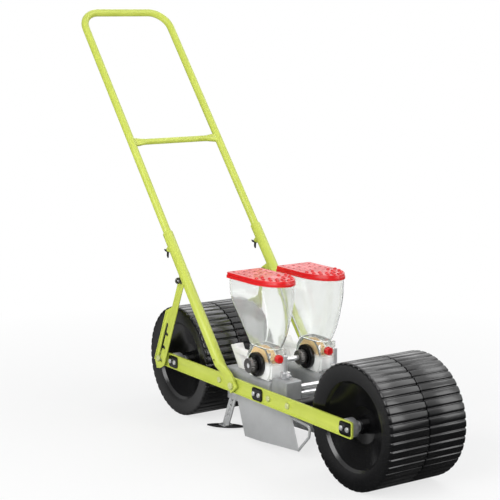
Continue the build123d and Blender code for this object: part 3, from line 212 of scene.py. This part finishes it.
# Nylon for the seed rollers is a warm tan with a waxy, slightly cloudy look.
finishes["tan_plastic"] = finish(
    "tan_cast_nylon", "#CDA566", "#DDBC80", 14, (0.35, 0.46), 1.2, 0.02, "#DDC08C", 0.5,
    **{"IOR": 1.53, "Subsurface Weight": 0.08, "Subsurface Radius": (0.004, 0.002, 0.001)})
# White acetal for the brush blocks is smooth and soft in the shadows.
finishes["white_plastic"] = finish(
    "white_milled_acetal", "#EDECEA", "#F5F4F2", 16, (0.3, 0.4), 1.2, 0.01, "#F4F4F2", 0.5, **{"IOR": 1.48})
# Paint on the rail's bolt heads is rubbed by spanners, so pale metal shows through it.
rubbed_paint = finish(
    "rubbed_lime_paint", "#C6CD74", "#D6DAA8", 7, (0.3, 0.42), 3.0, 0.02, "#E2E4D0", 2.2, metallic=0.2)
print(len(finishes), "finishes by slot, and", rubbed_paint.name)

# %% [markdown]
# ## Clear plastic
# The hoppers and the roller housings are clear, so their finish is the one that bends light.
# A little haze from the mould keeps them from vanishing, and lamps are let through
# so that the seed rollers are lit.
# The foot of a housing is moulded with a frosted skin, so there the haze rises until it is nearly white.

# %% The clear finish
ripple_size = 26.0
ripple_depth = 0.25
cloud_size = 45.0


def clear_finish(name, tint, haze, rough, index, frost=None):
    """Clear moulded plastic: mostly transmission, with a hint of haze and lamps let through.
    index is how strongly it bends light.
    frost is a pair of heights in mm: frosted below the first, clear above the second."""
    material = bpy.data.materials.new(name)
    material.use_nodes = True
    tree = material.node_tree
    tree.nodes.clear()
    place = add(tree, "ShaderNodeTexCoord").outputs["Object"]
    ripple = add(tree, "ShaderNodeTexNoise", {
        "Vector": place, "Scale": 1 / (ripple_size * MM), "Detail": 2.0, "Roughness": 0.5}).outputs["Fac"]
    cloud = add(tree, "ShaderNodeTexNoise", {
        "Vector": place, "Scale": 1 / (cloud_size * MM), "Detail": 3.0, "Roughness": 0.6}).outputs["Fac"]
    gloss = add(tree, "ShaderNodeMapRange", {
        "Value": cloud, "From Min": 0.3, "From Max": 0.7, "To Min": rough[0], "To Max": rough[1]})
    tone = add(tree, "ShaderNodeMix", {0: cloud, 6: linear(tint[0]), 7: linear(tint[1])}, data_type="RGBA")
    bump = add(tree, "ShaderNodeBump", {"Height": ripple, "Distance": ripple_depth * MM, "Strength": 1.0})
    surface = add(tree, "ShaderNodeBsdfPrincipled", {
        "Base Color": tone.outputs[2], "Roughness": gloss.outputs["Result"], "Normal": bump.outputs["Normal"],
        "Transmission Weight": 1 - haze, "IOR": index})
    if frost:
        height = add(tree, "ShaderNodeSeparateXYZ", {"Vector": place}).outputs["Z"]
        clearness = add(tree, "ShaderNodeMapRange", {
            "Value": height, "From Min": frost[0] * MM, "From Max": frost[1] * MM,
            "To Min": 0.12, "To Max": 1 - haze})
        tree.links.new(clearness.outputs["Result"], surface.inputs["Transmission Weight"])
    gap = add(tree, "ShaderNodeBsdfTransparent", {"Color": linear("#F2F4F2")})
    lamp = add(tree, "ShaderNodeLightPath").outputs["Is Shadow Ray"]
    both = add(tree, "ShaderNodeMixShader", {0: lamp, 1: surface.outputs["BSDF"], 2: gap.outputs["BSDF"]})
    add(tree, "ShaderNodeOutputMaterial", {"Surface": both.outputs["Shader"]})
    return material


# Moulded acrylic has a clean gloss with a slow ripple where it cooled.
finishes["clear_plastic"] = clear_finish(
    "clear_moulded_acrylic", ("#F4F6F4", "#FCFDFC"), 0.06, (0.03, 0.08), 1.49)
# The housings are the same plastic from a mould with a blasted foot, so they turn milky below the shaft.
# Their doors hold a thick plug, and a low index keeps it from throwing the seed roller's picture aside.
frosted = clear_finish(
    "frosted_moulded_acrylic", ("#F1F2F1", "#FAFBFA"), 0.05, (0.04, 0.1), 1.2, frost=(196, 208))
print("clear finishes:", finishes["clear_plastic"].name, "and", frosted.name)

# %% Every part takes the finish of its slot
for name, part in nodes.items():
    part.data.materials.clear()
    part.data.materials.append(finishes[slot_of_node[name]])
print("finished", len(nodes), "parts")

# %% [markdown]
# ## Pieces that ride on the frame
# Every new piece is a mesh at the origin that moves with one of the planter's bodies.
# Smooth shading stops at edges that turn sharply, so flat sheets stay flat and tubes look round.

# %% From a bmesh to a piece
def to_piece(work, name, body, slot, *replaced, sharp=32, coat=None):
    """Makes a finished piece of a bmesh and lets it stand for the parts it replaces.
    It takes the finish of its slot, or another coat of the same material."""
    mesh = bpy.data.meshes.new(name)
    work.to_mesh(mesh)
    work.free()
    mesh.shade_smooth()
    mesh.set_sharp_from_angle(angle=math.radians(sharp))
    mesh.materials.append(coat or finishes[slot])
    piece = bpy.data.objects.new(name, mesh)
    bpy.context.scene.collection.objects.link(piece)
    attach(piece, body)
    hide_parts(*replaced)
    return piece


def open_edges(work):
    return sum(1 for edge in work.edges if not edge.is_manifold)


# %% [markdown]
# ## Ground rollers
# Each roller is two moulded drums on one axle: slats with round grooves between them, a rounded shoulder,
# a flat land and a deep dish round the hub.
# All slats are alike, so only one is drawn: its crooked line is extruded along the drum's section,
# and the strip is then spun round the axle in 46 copies that are welded together.

# %% The slat and the section of a drum
slat_count = 46
slat_turn = 360 / slat_count
# Half a slat: degrees from its middle, and depth below its crown in mm
half_slat = ((0.0, 0.0), (1.6, 0.05), (2.3, 0.2), (2.75, 0.6), (3.1, 1.5), (3.45, 2.6), (slat_turn / 2, 3.0))
seam_round = 1.2
shoulder = 5.0
shoulder_steps = 5
dish_round = 4.0
hub_radius = 18.0
bore_radius = 6.1
weld_distance = 0.01
# The outer end from the shoulder to the bore: radius, and depth from the drum's end, in mm
outer_end = ((127.0, 0.0), (96.0, 5.0), (90.0, 11.0), (40.0, 34.0), (hub_radius, 38.0), (hub_radius, 20.0),
             (bore_radius, 20.0))
# The hollow side from under the slats to the hub, measured the same way; the hub then runs back to the seam
inner_side = ((125.0, 8.0), (96.0, 11.0), (90.0, 17.0), (40.0, 40.0), (hub_radius, 44.0))
slat_line = [(-angle, depth) for angle, depth in reversed(half_slat[1:])] + list(half_slat)
print(len(slat_line), "points in a slat's line,", slat_count, "slats of", round(slat_turn, 2), "degrees")


# %% One drum
def edges_in(extruded):
    return [part for part in extruded["geom"] if isinstance(part, bmesh.types.BMEdge)]


def extend(work, line, axle, y, radius=None, scale=1.0):
    """Extrudes a line of edges to another y, either scaled about the axle or laid on a circle."""
    grown = bmesh.ops.extrude_edge_only(work, edges=line)
    line = [edge for edge in edges_in(grown) if len(edge.link_faces) == 1]
    ends = {vert for edge in line for vert in edge.verts}
    for vert in ends:
        away = Vector((vert.co.x - axle.x, 0, vert.co.z - axle.z))
        away = away.normalized() * radius * MM if radius else away * scale
        vert.co = Vector((axle.x + away.x, y, axle.z + away.z))
    return line


def drum(node, axle):
    """A ribbed drum in place of its part, spun from a single slat."""
    low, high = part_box(node)
    side = 1 if low.y + high.y > 0 else -1
    seam, end = sorted((low.y, high.y), key=abs)
    crown = (high.z - low.z) / 2
    work = bmesh.new()
    points = []
    for angle, depth in slat_line:
        turn = math.radians(angle)
        reach = crown - (depth + seam_round) * MM
        place = (axle.x + reach * math.sin(turn), seam, axle.z + reach * math.cos(turn))
        points.append(work.verts.new(place))
    first = [work.edges.new(pair) for pair in zip(points, points[1:])]
    line = extend(work, first, axle, seam + side * seam_round * MM, scale=1 + seam_round * MM / crown)
    line = extend(work, line, axle, end - side * shoulder * MM)
    size = 1.0
    for step in range(1, shoulder_steps + 1):
        turn = math.radians(90 * step / shoulder_steps)
        wanted = 1 - shoulder * MM / crown * (1 - math.cos(turn))
        y = end - side * shoulder * MM * (1 - math.sin(turn))
        line = extend(work, line, axle, y, scale=wanted / size)
        size = wanted
    rounded = []
    for radius, depth in outer_end:
        line = extend(work, line, axle, end - side * depth * MM, radius)
        if radius > hub_radius:
            rounded += line
    extend(work, line, axle, seam, bore_radius)
    line = extend(work, first, axle, seam, inner_side[0][0])
    for radius, depth in inner_side:
        line = extend(work, line, axle, end - side * depth * MM, radius)
    line = extend(work, line, axle, seam, hub_radius)
    extend(work, line, axle, seam, bore_radius)
    bmesh.ops.bevel(work, geom=rounded, offset=dish_round * MM, offset_type="OFFSET", segments=4, profile=0.5,
                    affect="EDGES", clamp_overlap=True, material=-1)
    bmesh.ops.spin(work, geom=work.verts[:] + work.edges[:] + work.faces[:], cent=axle, axis=(0, 1, 0),
                   angle=math.radians(360 - slat_turn), steps=slat_count - 1, use_duplicate=True)
    bmesh.ops.remove_doubles(work, verts=work.verts, dist=weld_distance * MM)
    bmesh.ops.recalc_face_normals(work, faces=work.faces)
    print(node, len(work.faces), "faces,", open_edges(work), "open edges")
    to_piece(work, "ribbed_" + node, body_of_node[node], slot_of_node[node], node, sharp=50)


for place in ("front", "rear"):
    for hand in ("left", "right"):
        drum(f"{place}_{hand}_drum", joint_place[f"{place}_roller_spin"])

# %% [markdown]
# ## Hoppers
# A hopper is one thin clear moulding: an oblong neck that swells to a straight-backed, round-nosed rim.
# The neck's outline is three spun arcs joined by straight sides. It is extruded upwards level by level,
# and each level is stretched to its own back, nose and width. Subdivision then draws the wall smooth,
# and the wall gets its thickness last.

# %% Levels of a hopper
# In mm: height above the neck, then back, start of the nose's curve and tip measured from the seed shaft,
# and half the width
hopper_levels = (
    (0.0, -38.0, 10.0, 46.0, 21.0),
    (12.0, -40.5, 9.0, 53.5, 25.8),
    (33.0, -46.5, 7.0, 64.0, 33.0),
    (61.0, -59.0, 5.0, 72.0, 39.0),
    (95.0, -84.0, 5.0, 79.0, 45.0),
    (115.0, -91.0, 5.0, 81.5, 46.3),
    (137.0, -92.0, 5.0, 82.0, 46.5),
    (157.0, -92.0, 5.0, 82.0, 46.5),
)
hopper_corner = 7.0
hopper_wall = 2.2
corner_steps = 8
nose_steps = 32
side_cuts = 5


def arc(work, start, centre, degrees, steps):
    """Spins a vertex about an upright axis and returns its first and last vertices."""
    first = work.verts.new(start)
    bmesh.ops.spin(work, geom=[first], cent=centre, axis=(0, 0, 1), angle=math.radians(degrees), steps=steps)
    work.verts.ensure_lookup_table()
    return first, work.verts[-1]


def stretch(verts, old, new, origin):
    """Moves an outline from one level's back, nose and width to another's."""
    for vert in verts:
        x = (vert.co.x - origin.x) / MM - old[2]
        length = (new[2] - new[1]) / (old[2] - old[1]) if x < 0 else (new[3] - new[2]) / (old[3] - old[2])
        vert.co.x = origin.x + (new[2] + x * length) * MM
        vert.co.y = origin.y + (vert.co.y - origin.y) * new[4] / old[4]
        vert.co.z = origin.z + new[0] * MM


print("hopper levels up to", hopper_levels[-1][0], "mm above the neck")


# %% Both hoppers
def hopper(node, shaft):
    """A clear hopper in place of its part."""
    low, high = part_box(node)
    origin = Vector((shaft.x, (low.y + high.y) / 2, low.z))
    _, back, straight, nose, half = hopper_levels[0]
    work = bmesh.new()

    def at(x, y):
        return origin + Vector((x * MM, y * MM, 0))

    inset = half - hopper_corner
    ends = [
        arc(work, at(back + hopper_corner, half), at(back + hopper_corner, inset), 90, corner_steps),
        arc(work, at(back, -inset), at(back + hopper_corner, -inset), 90, corner_steps),
        arc(work, at(straight, -half), at(straight, 0), 180, nose_steps),
    ]
    for vert in work.verts:
        if vert.co.x > at(straight, 0).x + 1e-7:
            vert.co.x = at(straight, 0).x + (vert.co.x - at(straight, 0).x) * (nose - straight) / half
    sides = [work.edges.new((ends[i][1], ends[(i + 1) % 3][0])) for i in range(3)]
    bmesh.ops.subdivide_edges(work, edges=sides, cuts=side_cuts)
    loop = work.edges[:]
    for old, new in zip(hopper_levels, hopper_levels[1:]):
        grown = bmesh.ops.extrude_edge_only(work, edges=loop)
        loop = [edge for edge in edges_in(grown) if len(edge.link_faces) == 1]
        stretch({vert for edge in loop for vert in edge.verts}, old, new, origin)
    bmesh.ops.recalc_face_normals(work, faces=work.faces)
    out = sum((face.calc_center_median() - origin).xy.dot(face.normal.xy) for face in work.faces)
    if out < 0:
        bmesh.ops.reverse_faces(work, faces=work.faces)
    print(node, len(work.faces), "faces before subdivision")
    piece = to_piece(work, "blown_" + node, body_of_node[node], slot_of_node[node], node, sharp=180)
    smooth = piece.modifiers.new("smooth wall", "SUBSURF")
    smooth.levels = smooth.render_levels = 2
    thick = piece.modifiers.new("wall", "SOLIDIFY")
    thick.thickness = hopper_wall * MM
    thick.offset = -1


for hand in ("right", "left"):
    hopper(f"{hand}_hopper", joint_place["seed_shaft_spin"])

# %% [markdown]
# ## Chains
# Two roller chains on the left side turn the seed shaft from the front roller. The drive chain runs outside
# the rail to an idler spindle, and the feed chain runs inside the rail from there to the seed shaft.
# Inner links hold the rollers and outer links hold the pins, and they take turns.
# A plate starts as a circle whose front half is moved on by one pitch. The chain's line is the tight loop
# round its two sprockets, and a link is set at every pitch along it.

# %% Two kinds of link
chain_pitch = 9.525
plate_sheet = 0.6
plate_gap = 0.1
plate_inner_face = 2.95
plate_outer_face = plate_inner_face + plate_sheet + plate_gap
inner_plate_radius = 3.8
outer_plate_radius = 4.05
roller_radius = 3.15
pin_radius = 1.5


def bar(work, x, radius, half_length, segments):
    """A round bar along Y."""
    made = bmesh.ops.create_cone(work, cap_ends=True, segments=segments, radius1=radius * MM,
                                 radius2=radius * MM, depth=2 * half_length * MM)["verts"]
    bmesh.ops.rotate(work, verts=made, matrix=Matrix.Rotation(math.radians(90), 3, "X"))
    bmesh.ops.translate(work, verts=made, vec=(x * MM, 0, 0))


def link(name, plate_radius, inner_face):
    """Two plates that reach one pitch along X from the origin, with rollers between the inner ones
    and pins through the outer ones."""
    work = bmesh.new()
    for side in (-1, 1):
        ring = bmesh.ops.create_circle(work, cap_ends=True, radius=plate_radius * MM, segments=10)["verts"]
        bmesh.ops.translate(work, verts=[v for v in ring if v.co.x > 0], vec=(chain_pitch * MM, 0, 0))
        bmesh.ops.rotate(work, verts=ring, matrix=Matrix.Rotation(math.radians(90), 3, "X"))
        bmesh.ops.translate(work, verts=ring, vec=(0, side * inner_face * MM, 0))
        grown = bmesh.ops.extrude_face_region(work, geom=list(ring[0].link_faces))["geom"]
        moved = [part for part in grown if isinstance(part, bmesh.types.BMVert)]
        bmesh.ops.translate(work, verts=moved, vec=(0, side * plate_sheet * MM, 0))
    for x in (0, chain_pitch):
        if inner_face == plate_inner_face:
            bar(work, x, roller_radius, plate_inner_face, 12)
        else:
            bar(work, x, pin_radius, inner_face + plate_sheet, 8)
    bmesh.ops.recalc_face_normals(work, faces=work.faces)
    mesh = bpy.data.meshes.new(name)
    print(name, len(work.faces), "faces")
    work.to_mesh(mesh)
    work.free()
    return mesh


links = [
    link("inner_link", inner_plate_radius, plate_inner_face),
    link("outer_link", outer_plate_radius, plate_outer_face),
]


# %% Both chains
axle_teeth = 16
idler_drive_teeth = 12
idler_feed_teeth = 10
shaft_teeth = 10
rim_steps = 240


def loop_round(wheels):
    """Points of the tight loop round toothed wheels, each given by its centre in x and z and its teeth."""
    rim = []
    for place, teeth in wheels:
        reach = chain_pitch * MM / 2 / math.sin(math.pi / teeth)
        for step in range(rim_steps):
            turn = math.radians(360 / rim_steps * step)
            rim.append((place.x + reach * math.cos(turn), place.z + reach * math.sin(turn)))
    return [Vector(rim[index]) for index in geometry.convex_hull_2d(rim)]


def spaced(points):
    """Even steps of about one pitch along a closed line, an even number of them."""
    runs = [(b - a).length for a, b in zip(points, points[1:] + points[:1])]
    count = 2 * round(sum(runs) / chain_pitch / MM / 2)
    step = sum(runs) / count
    places = []
    travelled = 0.0
    for start, end, run in zip(points, points[1:] + points[:1], runs):
        while len(places) < count and len(places) * step <= travelled + run:
            places.append(start.lerp(end, (len(places) * step - travelled) / run))
        travelled += run
    return places


def chain(node, *wheels):
    """A chain of links in place of its part."""
    low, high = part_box(node)
    pins = spaced(loop_round(wheels))
    work = bmesh.new()
    for number, (start, end) in enumerate(zip(pins, pins[1:] + pins[:1])):
        held = len(work.verts)
        work.from_mesh(links[number % 2])
        run = end - start
        lie = Matrix.Translation((start.x, (low.y + high.y) / 2, start.y))
        lie @= Matrix.Rotation(-math.atan2(run.y, run.x), 4, "Y")
        bmesh.ops.transform(work, matrix=lie, verts=work.verts[held:])
    print(node, len(pins), "links,", len(work.faces), "faces")
    to_piece(work, "linked_" + node, body_of_node[node], slot_of_node[node], node)


axle, shaft, idler = (joint_place[name] for name in ("front_roller_spin", "seed_shaft_spin", "idler_spin"))
chain("drive_chain", (axle, axle_teeth), (idler, idler_drive_teeth))
chain("feed_chain", (shaft, shaft_teeth), (idler, idler_feed_teeth))

# %% [markdown]
# ## Softened edges
# The remaining parts already have their true shape, but a drawn edge is perfectly sharp
# and a real one never is.
# A copy of each part is merged, its flat faces are joined, and every edge that turns sharply is bevelled.
# Castings are rounder than sheet metal, so the width differs with the material.

# %% The softening
# Bevels in mm
edge_width = {
    "cast_aluminium": 1.2, "grey_steel": 0.8, "white_plastic": 0.8, "red_plastic": 0.6, "lime_paint": 0.6,
    "black_plastic": 0.5, "zinc_steel": 0.5, "bright_steel": 0.5, "black_steel": 0.5, "clear_plastic": 0.4,
    "tan_plastic": 0.3, "chain_steel": 0.3}
# In degrees: edges that turn by more than the first are bevelled, and by less than the second are dissolved
sharp_turn = 35
flat_turn = 0.5
# Corners nearer than these, in mm, are one: in the part's mesh, and after the bevel
part_spot = 0.002
bevel_spot = 0.0005


def softened(node, width, coat=None):
    """A bevelled copy of a part that stands in its place. width is the bevel in mm."""
    work = bmesh.new()
    work.from_mesh(nodes[node].data)
    bmesh.ops.remove_doubles(work, verts=work.verts, dist=part_spot * MM)
    bmesh.ops.dissolve_limit(work, angle_limit=math.radians(flat_turn), verts=work.verts, edges=work.edges)
    before = work.calc_volume()
    whole = [edge for edge in work.edges if len(edge.link_faces) == 2]
    edges = [edge for edge in whole if edge.calc_face_angle() > math.radians(sharp_turn)]
    bmesh.ops.bevel(work, geom=edges, offset=width * MM, offset_type="OFFSET", segments=2,
                    profile=0.5, affect="EDGES", clamp_overlap=False, material=-1)
    # Where bevels run together they can leave two corners on one spot.
    bmesh.ops.remove_doubles(work, verts=work.verts, dist=bevel_spot * MM)
    share = work.calc_volume() / before
    print(node, len(edges), "edges softened,", open_edges(work), "open edges, volume", round(share, 4))
    to_piece(work, "soft_" + node, body_of_node[node], slot_of_node[node], node, coat=coat)


print("bevels from", min(edge_width.values()), "to", max(edge_width.values()), "mm")

# %% The remaining parts
remodelled = ("_drum", "_hopper", "_chain")
other_coat = {"rail_bolts": rubbed_paint}
for side in ("left_", "right_"):
    other_coat[side + "depth_rod"] = finishes["zinc_steel"]
    other_coat[side + "roller_housing"] = frosted
    other_coat[side + "roller_door"] = frosted
for node in sorted(nodes):
    if not node.endswith(remodelled):
        softened(node, edge_width[slot_of_node[node]], coat=other_coat.get(node))

# %% [markdown]
# ## Stage
# The floor is a broad pale sheet, and the light comes from large soft panels, as in a product studio.
# The background shows white to the camera and through clear plastic, and the object gets plain, even light.
# A studio hangs black cloth where a glossy black thing would mirror white paper, and reflections here
# see such a room: dark below and in front, with a pale card on the floor and a bright ceiling.

# %% Floor
# In metres: half the floor's side, its gap below the rollers, and where its glow to the camera starts to rise
# and where it is full
floor_reach = 14
floor_gap = 0.0005
glow_near, glow_far = 0.5, 1.5
# The card's middle, and where its brightness is full and gone
card_place = (-0.35, -0.65, 0.0)
card_near, card_far = 0.2, 0.7
paper_cloud = 300.0

floor_mesh = bpy.data.meshes.new("floor")
work = bmesh.new()
bmesh.ops.create_grid(work, x_segments=4, y_segments=4, size=floor_reach)
work.to_mesh(floor_mesh)
work.free()
floor = bpy.data.objects.new("floor", floor_mesh)
bpy.context.scene.collection.objects.link(floor)
floor.location.z = cad_low.z - floor_gap
pale = bpy.data.materials.new("pale_paper_floor")
pale.use_nodes = True
tree = pale.node_tree
tree.nodes.clear()
place = add(tree, "ShaderNodeTexCoord").outputs["Object"]
fibre = add(tree, "ShaderNodeTexNoise", {
    "Vector": place, "Scale": 1 / (paper_cloud * MM), "Detail": 3.0}).outputs["Fac"]
paper = add(tree, "ShaderNodeMix", {0: fibre, 6: linear("#F4F4F4"), 7: linear("#F8F8F8")}, data_type="RGBA")
matte = add(tree, "ShaderNodeBsdfDiffuse", {"Color": paper.outputs[2]})
path = add(tree, "ShaderNodeLightPath")
mirrored = path.outputs["Is Glossy Ray"]
seen = add(tree, "ShaderNodeMath", {0: path.outputs["Is Camera Ray"], 1: path.outputs["Is Transmission Ray"]},
           operation="MAXIMUM").outputs["Value"]
away = add(tree, "ShaderNodeVectorMath", {0: place}, operation="LENGTH").outputs["Value"]
glowing = add(tree, "ShaderNodeMapRange", {
    "Value": away, "From Min": glow_near, "From Max": glow_far,
    "To Min": 0.72, "To Max": 1.0}).outputs["Result"]
share = add(tree, "ShaderNodeMath", {0: seen, 1: glowing}, operation="MULTIPLY").outputs["Value"]
share = add(tree, "ShaderNodeMath", {0: share, 1: mirrored}, operation="MAXIMUM").outputs["Value"]
# Reflections see a dark floor with one pale card. The end of the front roller mirrors it, so its rim shows.
card = add(tree, "ShaderNodeVectorMath", {0: place, 1: card_place}, operation="DISTANCE").outputs["Value"]
carded = add(tree, "ShaderNodeMapRange", {
    "Value": card, "From Min": card_near, "From Max": card_far,
    "To Min": 0.8, "To Max": 0.06}).outputs["Result"]
level = add(tree, "ShaderNodeMix", {0: seen, 2: carded, 3: 1.0}).outputs["Result"]
glow = add(tree, "ShaderNodeEmission", {"Color": (1, 1, 1, 1), "Strength": level})
both = add(tree, "ShaderNodeMixShader", {0: share, 1: matte.outputs["BSDF"], 2: glow.outputs["Emission"]})
add(tree, "ShaderNodeOutputMaterial", {"Surface": both.outputs["Shader"]})
floor.data.materials.append(pale)
print("floor at", round(floor.location.z, 4))

# %% World
room_strength = 0.45
ceiling_dark, ceiling_bright = 0.05, 1.65
# The ceiling is brightest straight along this line, over and behind the planter
ceiling_line = (0.0, 0.45, 0.89)

world = bpy.data.worlds.new("studio")
bpy.context.scene.world = world
world.use_nodes = True
tree = world.node_tree
tree.nodes.clear()
path = add(tree, "ShaderNodeLightPath")
seen = add(tree, "ShaderNodeMath", {0: path.outputs["Is Camera Ray"], 1: path.outputs["Is Transmission Ray"]},
           operation="MAXIMUM").outputs["Value"]
room = add(tree, "ShaderNodeBackground", {"Color": linear("#E6E8EA"), "Strength": room_strength})
white = add(tree, "ShaderNodeBackground", {"Color": (1, 1, 1, 1), "Strength": 1.0})
# Reflections see a room that is dark in front and bright overhead and behind.
toward = add(tree, "ShaderNodeTexCoord").outputs["Generated"]
rise = add(tree, "ShaderNodeVectorMath", {
    0: toward, 1: ceiling_line}, operation="DOT_PRODUCT").outputs["Value"]
ceiling = add(tree, "ShaderNodeMapRange", {
    "Value": rise, "From Min": 0.0, "From Max": 0.75,
    "To Min": ceiling_dark, "To Max": ceiling_bright}).outputs["Result"]
mirrored = add(tree, "ShaderNodeBackground", {"Color": (1, 1, 1, 1), "Strength": ceiling})
lit = add(tree, "ShaderNodeMixShader", {
    0: path.outputs["Is Glossy Ray"], 1: room.outputs["Background"], 2: mirrored.outputs["Background"]})
both = add(tree, "ShaderNodeMixShader", {0: seen, 1: lit.outputs["Shader"], 2: white.outputs["Background"]})
add(tree, "ShaderNodeOutputWorld", {"Surface": both.outputs["Shader"]})
print("world:", world.name)

# %% Lamps
def panel(name, place, aim, size, watts):
    """A soft rectangular light that faces a point. size is in metres."""
    lamp = bpy.data.lights.new(name, "AREA")
    lamp.shape = "RECTANGLE"
    lamp.size, lamp.size_y = size
    lamp.energy = watts
    holder = bpy.data.objects.new(name, lamp)
    bpy.context.scene.collection.objects.link(holder)
    holder.location = place
    holder.rotation_mode = "QUATERNION"
    holder.rotation_quaternion = (Vector(aim) - Vector(place)).to_track_quat("-Z", "Y")


panel("key_panel", (1.2, -3.0, 1.9), (0.1, 0.0, 0.3), (2.4, 1.8), 84)
panel("top_panel", (0.6, 1.5, 2.7), (0.2, 0.0, 0.3), (1.5, 1.1), 14)
panel("side_panel", (3.0, 1.6, 1.6), (0.2, 0.0, 0.3), (1.6, 2.2), 34)
panel("back_panel", (-2.6, 1.4, 2.2), (0.0, 0.0, 0.3), (2.2, 2.0), 17)
print("four soft panels")

# %% [markdown]
# ## Camera
# The picture was taken from the front right, a little above the rollers, with a long lens.
# The direction, distance and shift were worked out from the rollers, the rails and the handle.

# %% Camera
view_azimuth = math.radians(56.613)
view_elevation = math.radians(9.701)
view_roll = math.radians(-0.176)
camera_place = (2.71216, -1.8383, 0.9736)

eye = bpy.data.cameras.new("camera")
eye.sensor_width = 36.0
eye.lens = 101.85
eye.shift_x, eye.shift_y = 0.02626, 0.01222
eye.clip_start, eye.clip_end = 0.05, 100
camera = bpy.data.objects.new("camera", eye)
bpy.context.scene.collection.objects.link(camera)
bpy.context.scene.camera = camera
back = Vector((math.sin(view_azimuth) * math.cos(view_elevation),
               -math.cos(view_azimuth) * math.cos(view_elevation), math.sin(view_elevation)))
right = Vector((math.cos(view_azimuth), math.sin(view_azimuth), 0))
up = back.cross(right)
across = right * math.cos(view_roll) + up * math.sin(view_roll)
upward = up * math.cos(view_roll) - right * math.sin(view_roll)
turned = Matrix((across, upward, back)).transposed()
camera.matrix_world = Matrix.Translation(camera_place) @ turned.to_4x4()
bpy.context.scene.view_settings.view_transform = "Standard"
print("camera at", camera.location)
